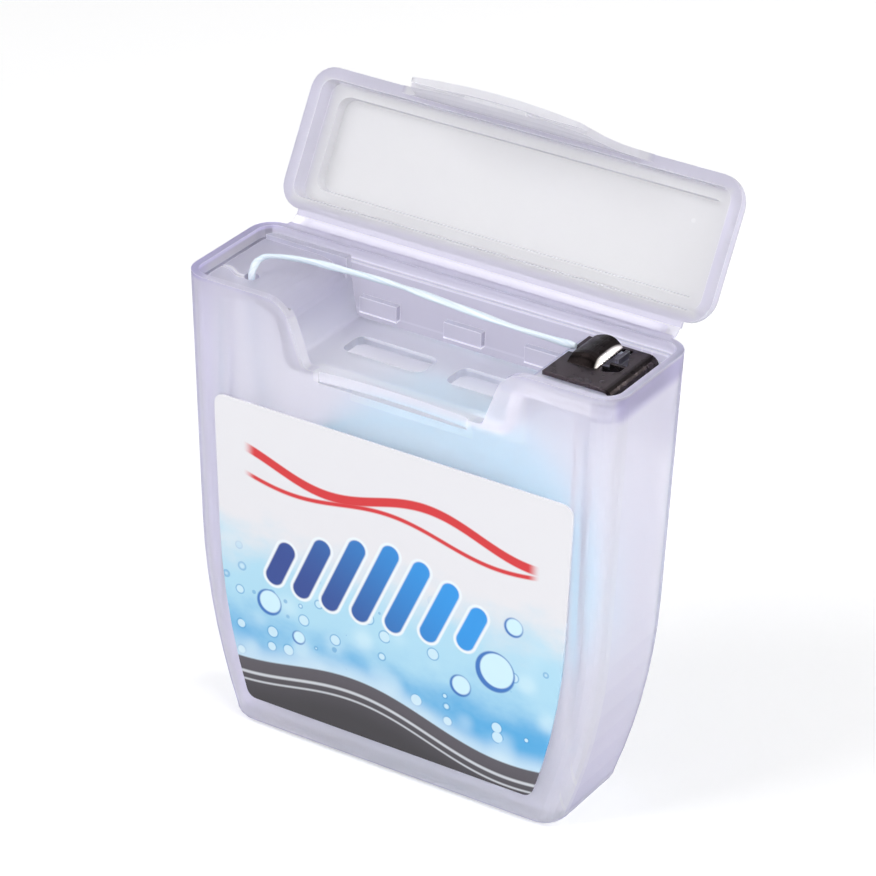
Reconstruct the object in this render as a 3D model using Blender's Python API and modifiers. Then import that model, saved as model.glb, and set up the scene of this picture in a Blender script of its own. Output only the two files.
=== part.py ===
"""Flip-top dental floss dispenser, lid open at rest.

Metres, +Z up, +X to the right of the front, front face towards -Y.
The origin is the centre of the flat bottom that the case stands on.

The case, its film hinge and its lid are one translucent moulding on the real
object. They move against each other, so each is a solid of its own here. An
insert clips into the mouth of the case and carries the steel cutter. Below it
a bobbin of floss turns on a boss of the rear wall, and the floss runs up
through the insert and under the cutter's hood.
"""
import math

import bmesh
import bpy
from mathutils import Matrix

# Case
CASE_WIDTH = 0.0500
CASE_HEIGHT = 0.0503
CASE_DEPTH = 0.0150
CASE_WALL = 0.00125
CASE_CORNER = 0.0026
FACE_SLOPE_SHARE = 0.013
SIDE_SLOPE_SHARE = 0.0355
BELLY_HEIGHT = 0.0223
BELLY_RADIUS = 0.0655
FOOT_HEIGHT = 0.0013
FOOT_INSET = 0.0015
FOOT_FACE_INSET = 0.0009
FOOT_INNER_RADIUS = 0.0005
RIM_REBATE_WIDTH = 0.00045
RIM_REBATE_DEPTH = 0.0012
RUNNING_GAP = 0.0003
OVERRUN = 0.0005

# Thumb dip in the front wall, and the latch recess below it
DIP_DEPTH = 0.0066
DIP_FOOT_HALF = 0.0103
DIP_MOUTH_HALF = 0.0127
DIP_LIP_RADIUS = 0.0022
DIP_FOOT_RADIUS = 0.0006
RECESS_HALF = 0.0086
RECESS_HEIGHT = 0.0011
RECESS_DEPTH = 0.00085
RECESS_END_DEPTH = 0.00035

# Clips and ribs inside the case
CLIP_LENGTH = 0.0044
CLIP_HEIGHT = 0.0018
CLIP_REACH = 0.0007
CLIP_FROM_FLANK = 0.0004
CLIP_LIFT = 0.0003
RIB_REACH = 0.0013
RIB_WIDTH = 0.00115
RIB_FROM_END = 0.0032
RIB_FOOT = 0.0095

# Hinge
HINGE_LENGTH = 0.0448
HINGE_REACH = 0.00115
HINGE_FILM_RADIUS = 0.00025
HINGE_FLANGE_HEIGHT = 0.0005
LID_OPEN_ANGLE = math.radians(119.6)

# Lid
LID_HEIGHT = 0.0046
LID_CROWN_INSET = 0.0040
LID_TRAY_DEPTH = 0.0021
LID_LEDGE_WIDTH = 0.0012
LID_PANEL_DEPTH = 0.0034
LID_DRAFT = 0.0001
LID_CROWN_CORNER = 0.0014

# Lid tongue, which fills the dip when the lid is shut
TONGUE_OVERLAP = 0.0009
TONGUE_THICKNESS = 0.0008
TONGUE_FLARE = 0.00128
TONGUE_FLARE_DROP = 0.0005
TONGUE_TIP_RADIUS = 0.0010
TONGUE_ROOT = 0.0009
TONGUE_ROOT_SINK = 0.00012
BEAD_LENGTH = 0.0070
BEAD_RADIUS = 0.00035
BEAD_FROM_TIP = 0.0007
TONGUE_LIP_SHARES = (0.15, 0.4, 0.7, 1.0)
TONGUE_BLADE_SHARES = (0.5, 1.0)

# Insert
INSERT_WALL = 0.0009
INSERT_GAP = 0.0004
FLOOR_HALF = 0.0126
FLANK_LEAN = 0.0006
FLOOR_RADIUS = 0.0005
LEFT_DECK_DROP = 0.0009
LEFT_SHOULDER_RUN = 0.0038
LEFT_SHOULDER_RISE = 0.0029
RIGHT_DECK_DROP = 0.0019
RIGHT_SHOULDER_RUN = 0.0014
RIGHT_SHOULDER_RISE = 0.0021
WEB_THICKNESS = 0.0009
WEB_HEIGHT = 0.0005
WEB_BITE = 0.0002
SLOT_WIDTH = 0.0038
SLOT_BACK = 0.0024
SLOT_RADIUS = 0.0010
SLOT_END_GAP = 0.0026
BRIDGE_WIDTH = 0.0027
BRIDGE_OFFSET = 0.0008
EYELET_FROM_END = 0.0042
EYELET_FORWARD = 0.00305
EYELET_RADIUS = 0.0008
SLIT_WIDTH = 0.00035
SLIT_SWING = 0.0008
SLIT_SIDE_SHARE = 0.6

# Cutter
CUTTER_GAUGE = 0.0004
CUTTER_LENGTH = 0.0079
CUTTER_FRONT_MARGIN = 0.0024
CUTTER_BACK_MARGIN = 0.0004
CUTTER_BEND = 0.0011
CUTTER_FLAP = 0.0022
CUTTER_FROM_END = 0.0013
NOTCH_DEPTH = 0.0010
NOTCH_WIDTH = 0.0015
NOTCH_FROM_BACK = 0.0024
HOOD_FROM_EDGE = 0.0010
HOOD_WIDTH = 0.0033
HOOD_LENGTH = 0.0052
HOOD_FROM_BACK = 0.0007
HOOD_HEIGHT = 0.0010
HOOD_RISE = 0.0002
HOOD_LEFT_LIFT = 0.00035
HOOD_RIGHT_DIP = 0.0002
HOOD_GAUGE = 0.0003
HOOD_SINK = 0.00005
HOOD_ARCH_SHARE = 0.75
HOOD_RAMP_SHARE = 0.25
TOOTH_COUNT = 7
TOOTH_DEPTH = 0.0003
TOOTH_TIP_CUT = 0.00005
TOOTH_MARGIN = 0.0008
WINDOW_LEFT_SHARE = 0.25
WINDOW_FRONT_REACH = 0.0020
WINDOW_BACK_REACH = 0.0010
WINDOW_SLANT = 0.0009
WINDOW_RADIUS = 0.0002
PRONG_REACH = 0.0015
PRONG_FROM_BACK = 0.0035
PRONG_LEFT_SHARE = 0.5
PRONG_ROOT_SHARE = 0.9
LUG_THICKNESS = 0.0004
LUG_LENGTH = 0.0022
LUG_HEIGHT = 0.0001

# Bobbin, floss and label
PIN_RADIUS = 0.0035
PIN_BORE_RADIUS = 0.0022
PIN_SHOULDER_RADIUS = 0.0055
PIN_SHOULDER_HEIGHT = 0.0010
BOBBIN_WALL = 0.0016
BOBBIN_RIM_HEIGHT = 0.0008
BOBBIN_RIM_WIDTH = 0.0010
SPOOL_OFFSET = 0.0010
SPOOL_FLOOR_GAP = 0.0043
SPOOL_TOP_GAP = 0.00225
SPOOL_SIDE_GAP = 0.0035
PACK_MARGIN = 0.0003
FLOSS_DIAMETER = 0.0007
FLOSS_TURN_GAP = 0.00045
STRAND_DIAMETER = 0.0006
STRAND_STEP = 0.0014
LABEL_THICKNESS = 0.00015
LABEL_GAP = 0.0001
LABEL_TOP_DROP = 0.0123
LABEL_FOOT = 0.0034
LABEL_SIDE_MARGIN = 0.0036
LABEL_CORNER = 0.0012

# Counts of facets
CORNER_FACETS = 6
FILLET_FACETS = 5
ROUND_FACETS = 48
LOOP_POINTS = 24
BELLY_RINGS = 7
LID_CROWN_RINGS = 7
TONGUE_COLUMNS = 8
SHOULDER_FACETS = 7
SLIT_STEPS = 12
HOOD_COLUMNS = 12
HOOD_ROWS = 10
LABEL_STEPS = 9
CURVE_PARTS = 16
WELD_DISTANCE = 0.000001
SHARP_ANGLE = math.radians(32.0)

# Free strand above the winding: its route by hand, and where it lies on the bobbin
STRAND_LIE_ANGLE = math.radians(226.0)
STRAND_LEAVE_ANGLE = math.radians(187.0)
STRAND_LIE_STEPS = 6
FLOSS_ROUTE = (
    (-0.01735, -0.0012, 0.0248),
    (-0.01790, -0.0016, 0.0303),
    (-0.01845, -0.0021, 0.0363),
    (-0.01905, -0.0026, 0.0423),
    (-0.01940, -0.0030, 0.0468),
    (-0.01950, -0.00305, 0.0491),
    (-0.01950, -0.0028, 0.0501),
    (-0.01935, -0.0020, 0.05085),
    (-0.01860, -0.0010, 0.0511),
    (-0.01590, 0.0002, 0.0510),
    (-0.01225, 0.0010, 0.0508),
    (-0.00640, 0.0017, 0.0505),
    (-0.00280, 0.00185, 0.0503),
    (0.00340, 0.0019, 0.0499),
    (0.00860, 0.0020, 0.0496),
    (0.01320, 0.0021, 0.0495),
    (0.01490, 0.00215, 0.0495),
)

# Worked out from the sizes above
DIP_FOOT_Z = CASE_HEIGHT - DIP_DEPTH
FLOOR_Z = DIP_FOOT_Z - RUNNING_GAP
LEFT_DECK_Z = CASE_HEIGHT - LEFT_DECK_DROP
RIGHT_DECK_Z = CASE_HEIGHT - RIGHT_DECK_DROP
LID_RIM_Z = CASE_HEIGHT + RUNNING_GAP
HINGE_Y = CASE_DEPTH / 2 + HINGE_REACH
FLANGE_BACK_Y = HINGE_Y - HINGE_FILM_RADIUS - RUNNING_GAP
SPOOL_ROOM = FLOOR_Z - INSERT_WALL - CASE_WALL
SPOOL_RADIUS_BY_HEIGHT = (SPOOL_ROOM - SPOOL_FLOOR_GAP - SPOOL_TOP_GAP) / 2
SPOOL_RADIUS_BY_WIDTH = CASE_WIDTH / 2 - CASE_WALL - SPOOL_OFFSET - SPOOL_SIDE_GAP
SPOOL_RADIUS = min(SPOOL_RADIUS_BY_HEIGHT, SPOOL_RADIUS_BY_WIDTH)
WINDING_RADIUS = SPOOL_RADIUS - FLOSS_DIAMETER / 2
PACK_RADIUS = WINDING_RADIUS - FLOSS_DIAMETER / 2 - RUNNING_GAP
SPOOL_Z = CASE_WALL + SPOOL_FLOOR_GAP + SPOOL_RADIUS
TONGUE_LENGTH = RUNNING_GAP + DIP_DEPTH + TONGUE_OVERLAP


def half_width(z):
    """Half width of the case's front outline at height z: straight, then bellied in."""
    straight = CASE_WIDTH / 2 - SIDE_SLOPE_SHARE * (CASE_HEIGHT - z)
    below = max(0.0, BELLY_HEIGHT - z)
    return straight - below * below / (2 * BELLY_RADIUS)


def half_depth(z):
    """Half depth of the case at height z, which the mould's draft narrows downwards."""
    return CASE_DEPTH / 2 - FACE_SLOPE_SHARE * (CASE_HEIGHT - z)


def inner_half_width(z):
    return half_width(z) - CASE_WALL


def inner_half_depth(z):
    return half_depth(z) - CASE_WALL


def dip_flank_x(z):
    """Half width of the thumb dip at height z, with the round lip at its mouth."""
    lean = (DIP_MOUTH_HALF - DIP_FOOT_HALF) / DIP_DEPTH
    flank = DIP_FOOT_HALF + lean * (z - DIP_FOOT_Z)
    lip_depth = DIP_LIP_RADIUS - (CASE_HEIGHT - z)
    if lip_depth <= 0.0:
        return flank
    lip_depth = min(lip_depth, DIP_LIP_RADIUS)
    return flank + DIP_LIP_RADIUS - math.sqrt(DIP_LIP_RADIUS ** 2 - lip_depth ** 2)


def remove_everything():
    for thing in list(bpy.data.objects):
        bpy.data.objects.remove(thing, do_unlink=True)


def new_collection(name):
    made = bpy.data.collections.new(name)
    bpy.context.scene.collection.children.link(made)
    return made


remove_everything()
PARTS = new_collection("floss_dispenser")
CUTTERS = new_collection("cutters")


def new_material(name, color, roughness, metallic=0.0, transmission=0.0):
    material = bpy.data.materials.new(name)
    material.use_nodes = True
    shader = material.node_tree.nodes["Principled BSDF"]
    shader.inputs["Base Color"].default_value = (*color, 1.0)
    shader.inputs["Roughness"].default_value = roughness
    shader.inputs["Metallic"].default_value = metallic
    shader.inputs["Transmission Weight"].default_value = transmission
    material.diffuse_color = (*color, 1.0)
    return material


def part_object(name, mesh, material):
    """A named piece of the product."""
    piece = bpy.data.objects.new(name, mesh)
    mesh.materials.append(material)
    PARTS.objects.link(piece)
    return piece


def shade_round(piece):
    piece.data.shade_smooth()
    piece.data.set_sharp_from_angle(angle=SHARP_ANGLE)


def tool_object(name, mesh):
    """A solid that only cuts a piece or is joined to one."""
    tool = bpy.data.objects.new(name, mesh)
    CUTTERS.objects.link(tool)
    tool.hide_render = True
    tool.display_type = "WIRE"
    return tool


def combine(piece, tool, operation):
    modifier = piece.modifiers.new(tool.name, "BOOLEAN")
    modifier.operation = operation
    modifier.solver = "EXACT"
    modifier.object = tool


def cut(piece, tool):
    combine(piece, tool, "DIFFERENCE")


def join(piece, tool):
    combine(piece, tool, "UNION")


def face_up(bm):
    """Makes a sheet's faces agree, and turns it over if it faces down on the whole."""
    bmesh.ops.recalc_face_normals(bm, faces=bm.faces)
    bm.normal_update()
    facing = sum(face.normal.z * face.calc_area() for face in bm.faces)
    if facing < 0.0:
        bmesh.ops.reverse_faces(bm, faces=bm.faces)


def mesh_from(bm, name):
    mesh = bpy.data.meshes.new(name)
    bm.to_mesh(mesh)
    bm.free()
    return mesh


def box_tool(name, low, high):
    """A box between two corners."""
    size = [b - a for a, b in zip(low, high)]
    middle = [(a + b) / 2 for a, b in zip(low, high)]
    bm = bmesh.new()
    bmesh.ops.create_cube(bm, size=1.0)
    bmesh.ops.scale(bm, vec=size, verts=bm.verts)
    bmesh.ops.translate(bm, vec=middle, verts=bm.verts)
    return tool_object(name, mesh_from(bm, name))


def rod_mesh(name, radius, length, matrix, facets):
    """A round rod along the matrix's Z axis, centred on its origin."""
    bm = bmesh.new()
    bmesh.ops.create_cone(
        bm, cap_ends=True, segments=facets, radius1=radius, radius2=radius,
        depth=length, matrix=matrix)
    return mesh_from(bm, name)


def filleted(corners, cyclic=True):
    """Points of an outline whose corners (x, y, radius) are rounded with arcs."""
    points = []
    count = len(corners)
    for index, (x, y, radius) in enumerate(corners):
        at_end = not cyclic and index in (0, count - 1)
        if radius == 0.0 or at_end:
            points.append((x, y))
            continue
        before = corners[index - 1]
        after = corners[(index + 1) % count]
        in_x, in_y = before[0] - x, before[1] - y
        out_x, out_y = after[0] - x, after[1] - y
        in_length = math.hypot(in_x, in_y)
        out_length = math.hypot(out_x, out_y)
        cosine = (in_x * out_x + in_y * out_y) / (in_length * out_length)
        half_angle = math.acos(max(-1.0, min(1.0, cosine))) / 2
        reach = min(radius / math.tan(half_angle), in_length / 2, out_length / 2)
        radius = reach * math.tan(half_angle)
        to_centre = radius / math.sin(half_angle)
        middle_x = in_x / in_length + out_x / out_length
        middle_y = in_y / in_length + out_y / out_length
        middle_length = math.hypot(middle_x, middle_y)
        centre_x = x + middle_x / middle_length * to_centre
        centre_y = y + middle_y / middle_length * to_centre
        start = math.atan2(y + in_y / in_length * reach - centre_y,
                           x + in_x / in_length * reach - centre_x)
        end = math.atan2(y + out_y / out_length * reach - centre_y,
                         x + out_x / out_length * reach - centre_x)
        turn = (end - start + math.pi) % (2 * math.pi) - math.pi
        for step in range(FILLET_FACETS + 1):
            angle = start + turn * step / FILLET_FACETS
            points.append((centre_x + radius * math.cos(angle),
                           centre_y + radius * math.sin(angle)))
    return points


def plate_mesh(name, outline, thickness, matrix):
    """A flat outline, extruded to a thickness, turned into a welded mesh in place."""
    curve = bpy.data.curves.new(name, "CURVE")
    curve.dimensions = "2D"
    curve.fill_mode = "BOTH"
    curve.extrude = thickness / 2
    spline = curve.splines.new("POLY")
    spline.points.add(len(outline) - 1)
    for point, (x, y) in zip(spline.points, outline):
        point.co = (x, y, 0.0, 1.0)
    spline.use_cyclic_u = True
    drawn = bpy.data.objects.new(name + "_outline", curve)
    CUTTERS.objects.link(drawn)
    drawn.matrix_world = matrix
    bpy.context.view_layer.update()
    graph = bpy.context.evaluated_depsgraph_get()
    mesh = bpy.data.meshes.new_from_object(drawn.evaluated_get(graph))
    bm = bmesh.new()
    bm.from_mesh(mesh)
    bmesh.ops.remove_doubles(bm, verts=bm.verts, dist=WELD_DISTANCE)
    bm.transform(drawn.matrix_world)
    bmesh.ops.recalc_face_normals(bm, faces=bm.faces)
    bm.to_mesh(mesh)
    bm.free()
    mesh.name = name
    bpy.data.objects.remove(drawn, do_unlink=True)
    return mesh


def upright(y, tilt=0.0):
    """Places an outline drawn in X and Y so that its Y points up and it faces -Y."""
    return Matrix.Translation((0.0, y, 0.0)) @ Matrix.Rotation(math.pi / 2 + tilt, 4, "X")


def level(z):
    """Places an outline drawn in X and Y flat at a height."""
    return Matrix.Translation((0.0, 0.0, z))


def rounded_ring(half_x, half_y, radius, z):
    """A rounded rectangle seen from above, counter-clockwise, at one height."""
    ring = []
    for quarter, (sign_x, sign_y) in enumerate(((1, 1), (-1, 1), (-1, -1), (1, -1))):
        for step in range(CORNER_FACETS + 1):
            angle = (quarter + step / CORNER_FACETS) * math.pi / 2
            ring.append((sign_x * (half_x - radius) + radius * math.cos(angle),
                         sign_y * (half_y - radius) + radius * math.sin(angle), z))
    return ring


def loft_mesh(name, rings):
    """Skins rings of equal point counts in their order and closes both ends."""
    bm = bmesh.new()
    loops = [[bm.verts.new(point) for point in ring] for ring in rings]
    for lower, upper in zip(loops, loops[1:]):
        for index in range(len(lower)):
            after = (index + 1) % len(lower)
            bm.faces.new((lower[index], lower[after], upper[after], upper[index]))
    bm.faces.new(list(reversed(loops[0])))
    bm.faces.new(loops[-1])
    return mesh_from(bm, name)


def turned_mesh(name, profile, matrix, facets, closed=False):
    """Turns a profile of (radius, height), outer side from top to bottom, about Z."""
    bm = bmesh.new()
    points = [bm.verts.new((radius, 0.0, height)) for radius, height in profile]
    for first, second in zip(points, points[1:]):
        bm.edges.new((first, second))
    if closed:
        bm.edges.new((points[-1], points[0]))
    turned = bpy.data.objects.new(name + "_profile", mesh_from(bm, name + "_profile"))
    CUTTERS.objects.link(turned)
    screw = turned.modifiers.new("turn", "SCREW")
    screw.steps = facets
    screw.render_steps = facets
    screw.use_merge_vertices = True
    screw.merge_threshold = WELD_DISTANCE
    bpy.context.view_layer.update()
    graph = bpy.context.evaluated_depsgraph_get()
    mesh = bpy.data.meshes.new_from_object(turned.evaluated_get(graph))
    bpy.data.objects.remove(turned, do_unlink=True)
    mesh.transform(matrix)
    mesh.name = name
    return mesh


def tube_object(name, points, radius, resolution, material):
    """A tube along a line of points, as a curve with filled caps."""
    curve = bpy.data.curves.new(name, "CURVE")
    curve.dimensions = "3D"
    curve.bevel_depth = radius
    curve.bevel_resolution = resolution
    curve.use_fill_caps = True
    spline = curve.splines.new("POLY")
    spline.points.add(len(points) - 1)
    for point, place in zip(spline.points, points):
        point.co = (*place, 1.0)
    tube = bpy.data.objects.new(name, curve)
    curve.materials.append(material)
    PARTS.objects.link(tube)
    return tube


def case_shell(material):
    """The case: a bellied tub whose walls are lofted outside and in, cut flat at its rim."""
    over = CASE_HEIGHT + OVERRUN
    foot_w = half_width(FOOT_HEIGHT)
    foot_d = half_depth(FOOT_HEIGHT)
    heights = [FOOT_HEIGHT + (BELLY_HEIGHT - FOOT_HEIGHT) * step / BELLY_RINGS
               for step in range(BELLY_RINGS + 1)]
    outside = []
    for step in range(FILLET_FACETS):
        angle = step / FILLET_FACETS * math.pi / 2
        round_in = 1.0 - math.sin(angle)
        outside.append(rounded_ring(
            foot_w - FOOT_INSET * round_in, foot_d - FOOT_FACE_INSET * round_in,
            CASE_CORNER - FOOT_FACE_INSET * round_in, FOOT_HEIGHT * (1.0 - math.cos(angle))))
    for z in heights + [over]:
        outside.append(rounded_ring(half_width(z), half_depth(z), CASE_CORNER, z))
    inner_corner = CASE_CORNER - CASE_WALL
    floor_round_z = CASE_WALL + FOOT_INNER_RADIUS
    inside = []
    for z in [over] + heights[:0:-1] + [floor_round_z]:
        inside.append(rounded_ring(inner_half_width(z), inner_half_depth(z), inner_corner, z))
    inside.append(rounded_ring(
        inner_half_width(floor_round_z) - FOOT_INNER_RADIUS,
        inner_half_depth(floor_round_z) - FOOT_INNER_RADIUS,
        inner_corner - FOOT_INNER_RADIUS, CASE_WALL))
    case = part_object("case_shell", loft_mesh("case_shell", outside + inside), material)
    add_hinge_flange(case)
    add_clips(case)
    add_ribs(case)
    add_boss(case)
    cut(case, box_tool(
        "rim_trim", (-CASE_WIDTH, -CASE_DEPTH, CASE_HEIGHT),
        (CASE_WIDTH, CASE_DEPTH, CASE_HEIGHT + 2 * OVERRUN)))
    cut_rebate(case)
    cut_dip(case)
    shade_round(case)
    return case


def cut_rebate(case):
    """The step round the inside of the mouth that thins the wall at its rim."""
    rings = []
    for z in (CASE_HEIGHT - RIM_REBATE_DEPTH, CASE_HEIGHT + OVERRUN):
        rings.append(rounded_ring(
            inner_half_width(z) + RIM_REBATE_WIDTH, inner_half_depth(z) + RIM_REBATE_WIDTH,
            CASE_CORNER - CASE_WALL + RIM_REBATE_WIDTH, z))
    cut(case, tool_object("rim_rebate", loft_mesh("rim_rebate", rings)))


def add_hinge_flange(case):
    """The strip behind the rear rim that the film springs from."""
    join(case, box_tool(
        "case_hinge_flange",
        (-HINGE_LENGTH / 2, CASE_DEPTH / 2 - OVERRUN, CASE_HEIGHT - HINGE_FLANGE_HEIGHT),
        (HINGE_LENGTH / 2, FLANGE_BACK_Y, CASE_HEIGHT + OVERRUN)))


def add_clips(case):
    """Three short ledges on the rear wall that the insert's floor snaps under."""
    low = FLOOR_Z + RUNNING_GAP + CLIP_LIFT
    wall_y = inner_half_depth(low)
    starts = (-FLOOR_HALF + CLIP_FROM_FLANK, -CLIP_LENGTH / 2,
              FLOOR_HALF - FLANK_LEAN - CLIP_FROM_FLANK - CLIP_LENGTH)
    for index, start in enumerate(starts):
        join(case, box_tool(
            "clip_%d" % (index + 1),
            (start, wall_y - CLIP_REACH, low),
            (start + CLIP_LENGTH, wall_y + OVERRUN, low + CLIP_HEIGHT)))


def rib_x():
    return inner_half_width(LEFT_DECK_Z) - RIB_FROM_END


def add_ribs(case):
    """Four upright ribs on the faces' inner sides that the insert's decks rest on."""
    for name, middle, deck_z in (("left", -rib_x(), LEFT_DECK_Z), ("right", rib_x(), RIGHT_DECK_Z)):
        top = deck_z - INSERT_WALL - RUNNING_GAP
        for side in (-1, 1):
            near = side * (inner_half_depth(top) - RIB_REACH)
            far = side * (inner_half_depth(RIB_FOOT) + OVERRUN)
            join(case, box_tool(
                "%s_rib_%s" % (name, "front" if side < 0 else "rear"),
                (middle - RIB_WIDTH / 2, min(near, far), RIB_FOOT),
                (middle + RIB_WIDTH / 2, max(near, far), top)))


def spool_axis_matrix(y):
    """Turns a profile's upward axis to point at the front wall, on the spool's axis."""
    place = Matrix.Translation((SPOOL_OFFSET, y, SPOOL_Z))
    return place @ Matrix.Rotation(math.pi / 2, 4, "X")


def boss_shoulder_y():
    return inner_half_depth(SPOOL_Z) - PIN_SHOULDER_HEIGHT


def pin_end_y():
    return -inner_half_depth(SPOOL_Z - PIN_RADIUS) + RUNNING_GAP


def add_boss(case):
    """The cored pin and its shoulder on the rear wall, which the bobbin turns on."""
    shoulder_y = boss_shoulder_y()
    pin_length = shoulder_y - pin_end_y()
    root = -PIN_SHOULDER_HEIGHT - OVERRUN
    profile = (
        (0.0, CASE_WALL),
        (PIN_BORE_RADIUS, CASE_WALL),
        (PIN_BORE_RADIUS, pin_length),
        (PIN_RADIUS, pin_length),
        (PIN_RADIUS, 0.0),
        (PIN_SHOULDER_RADIUS, 0.0),
        (PIN_SHOULDER_RADIUS, root),
        (0.0, root),
    )
    boss = turned_mesh("boss", profile, spool_axis_matrix(shoulder_y), ROUND_FACETS // 2)
    join(case, tool_object("boss", boss))


def cut_dip(case):
    """The thumb dip in the front wall and the latch recess on its outer face."""
    flank = []
    for step in range(FILLET_FACETS + 1):
        angle = step / FILLET_FACETS * math.pi / 2
        z = CASE_HEIGHT - DIP_LIP_RADIUS * (1.0 - math.cos(angle))
        flank.append((dip_flank_x(z), z, 0.0))
    right = [(DIP_FOOT_HALF, DIP_FOOT_Z, DIP_FOOT_RADIUS), *reversed(flank)]
    mouth_x = flank[0][0]
    right.append((mouth_x, CASE_HEIGHT + OVERRUN, 0.0))
    left = [(-x, z, radius) for x, z, radius in reversed(right)]
    outline = filleted(right + left)
    depth = CASE_WALL + 2 * OVERRUN
    middle_y = -CASE_DEPTH / 2 + CASE_WALL / 2
    cut(case, tool_object("dip", plate_mesh("dip", outline, depth, upright(middle_y))))
    face_y = -half_depth(DIP_FOOT_Z)
    arch = []
    for step in range(FILLET_FACETS + 1):
        share = 2 * step / FILLET_FACETS - 1
        depth_here = RECESS_DEPTH - (RECESS_DEPTH - RECESS_END_DEPTH) * share * share
        arch.append((share * RECESS_HALF, face_y + depth_here))
    arch.append((RECESS_HALF, face_y - OVERRUN))
    arch.append((-RECESS_HALF, face_y - OVERRUN))
    height = RECESS_HEIGHT + OVERRUN
    middle_z = DIP_FOOT_Z - RECESS_HEIGHT + height / 2
    cut(case, tool_object("recess", plate_mesh("recess", arch, height, level(middle_z))))


def lid_ring(inset, height, corner):
    """A ring of the lid, as far in from the case's rim and as far above its own rim."""
    return rounded_ring(CASE_WIDTH / 2 - inset, CASE_DEPTH / 2 - inset,
                        max(corner, LID_DRAFT), LID_RIM_Z + height)


def lid(material):
    """The lid, drawn shut: a shallow round-edged tray with a thumb tongue at its front."""
    crown = []
    for step in range(1, LID_CROWN_RINGS + 1):
        angle = step / LID_CROWN_RINGS * math.pi / 2
        inset = LID_CROWN_INSET * (1.0 - math.cos(angle))
        corner = CASE_CORNER - (CASE_CORNER - LID_CROWN_CORNER) * inset / LID_CROWN_INSET
        crown.append(lid_ring(inset, LID_HEIGHT * math.sin(angle), corner))
    ledge_inset = CASE_WALL + LID_DRAFT + LID_LEDGE_WIDTH
    inner_corner = CASE_CORNER - CASE_WALL
    tray = [
        lid_ring(ledge_inset + LID_DRAFT, LID_PANEL_DEPTH, inner_corner),
        lid_ring(ledge_inset, LID_TRAY_DEPTH, inner_corner),
        lid_ring(CASE_WALL + LID_DRAFT, LID_TRAY_DEPTH, inner_corner),
        lid_ring(CASE_WALL, -OVERRUN, inner_corner),
        lid_ring(0.0, -OVERRUN, CASE_CORNER),
    ]
    body = part_object("lid", loft_mesh("lid", tray + crown), material)
    join(body, box_tool(
        "lid_hinge_flange",
        (-HINGE_LENGTH / 2, CASE_DEPTH / 2 - OVERRUN, LID_RIM_Z - OVERRUN),
        (HINGE_LENGTH / 2, FLANGE_BACK_Y, LID_RIM_Z + HINGE_FLANGE_HEIGHT)))
    cut(body, box_tool(
        "lid_rim_trim", (-CASE_WIDTH, -CASE_DEPTH, LID_RIM_Z - 2 * OVERRUN),
        (CASE_WIDTH, CASE_DEPTH, LID_RIM_Z)))
    join(body, tongue())
    join(body, tongue_bead())
    shade_round(body)
    return body


def tongue_flare(across, down):
    """How far the tongue's outer side stands proud of the lid's face."""
    share = max(0.0, down / TONGUE_LENGTH)
    reach = TONGUE_FLARE - TONGUE_FLARE_DROP * across * across
    return reach * share * share - (TONGUE_ROOT_SINK if down < 0.0 else 0.0)


def tongue_half(down):
    """Half width of the tongue: the dip less its gap, with round tip corners."""
    z = min(CASE_HEIGHT, max(DIP_FOOT_Z, LID_RIM_Z - down))
    half = dip_flank_x(z) - RUNNING_GAP
    past = TONGUE_TIP_RADIUS - (TONGUE_LENGTH - down)
    if past > 0.0:
        half -= TONGUE_TIP_RADIUS - math.sqrt(TONGUE_TIP_RADIUS ** 2 - past ** 2)
    return half


def tongue():
    """The tongue: its outer side drawn, thickened inwards and rebated to clear the wall."""
    lip = DIP_LIP_RADIUS + RUNNING_GAP
    downs = [-TONGUE_ROOT, 0.0]
    downs += [RUNNING_GAP + lip * share for share in TONGUE_LIP_SHARES]
    tip_start = TONGUE_LENGTH - TONGUE_TIP_RADIUS
    span = tip_start - downs[-1]
    downs += [downs[-1] + span * share for share in TONGUE_BLADE_SHARES]
    for step in range(1, FILLET_FACETS + 1):
        angle = step / FILLET_FACETS * math.pi / 2
        downs.append(tip_start + TONGUE_TIP_RADIUS * math.sin(angle))
    bm = bmesh.new()
    bmesh.ops.create_grid(bm, x_segments=TONGUE_COLUMNS, y_segments=len(downs) - 1, size=1.0)
    bm.verts.ensure_lookup_table()
    rows = len(downs) - 1
    for vert in bm.verts:
        across = vert.co.x
        down = downs[rows - round((vert.co.y + 1.0) / 2 * rows)]
        half = tongue_half(down)
        vert.co = (across * half, -CASE_DEPTH / 2 - tongue_flare(across, down),
                   LID_RIM_Z - down)
    swept = bmesh.ops.extrude_face_region(bm, geom=bm.faces[:])
    moved = [item for item in swept["geom"] if isinstance(item, bmesh.types.BMVert)]
    bmesh.ops.translate(bm, vec=(0.0, TONGUE_THICKNESS, 0.0), verts=moved)
    bmesh.ops.recalc_face_normals(bm, faces=bm.faces)
    blade = tool_object("tongue", mesh_from(bm, "tongue"))
    cut(blade, box_tool(
        "tongue_rebate",
        (-DIP_FOOT_HALF - OVERRUN, -half_depth(DIP_FOOT_Z) - RUNNING_GAP,
         LID_RIM_Z - TONGUE_LENGTH - OVERRUN),
        (DIP_FOOT_HALF + OVERRUN, -inner_half_depth(DIP_FOOT_Z), DIP_FOOT_Z + RUNNING_GAP)))
    return blade


def tongue_bead():
    """The latch bead across the inner side of the tongue, near its tip."""
    down = TONGUE_LENGTH - BEAD_FROM_TIP
    y = -CASE_DEPTH / 2 - tongue_flare(0.0, down) + TONGUE_THICKNESS
    place = Matrix.Translation((0.0, y, LID_RIM_Z - down)) @ Matrix.Rotation(math.pi / 2, 4, "Y")
    bead = rod_mesh("tongue_bead", BEAD_RADIUS, BEAD_LENGTH, place, ROUND_FACETS // 4)
    return tool_object("tongue_bead", bead)


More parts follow.
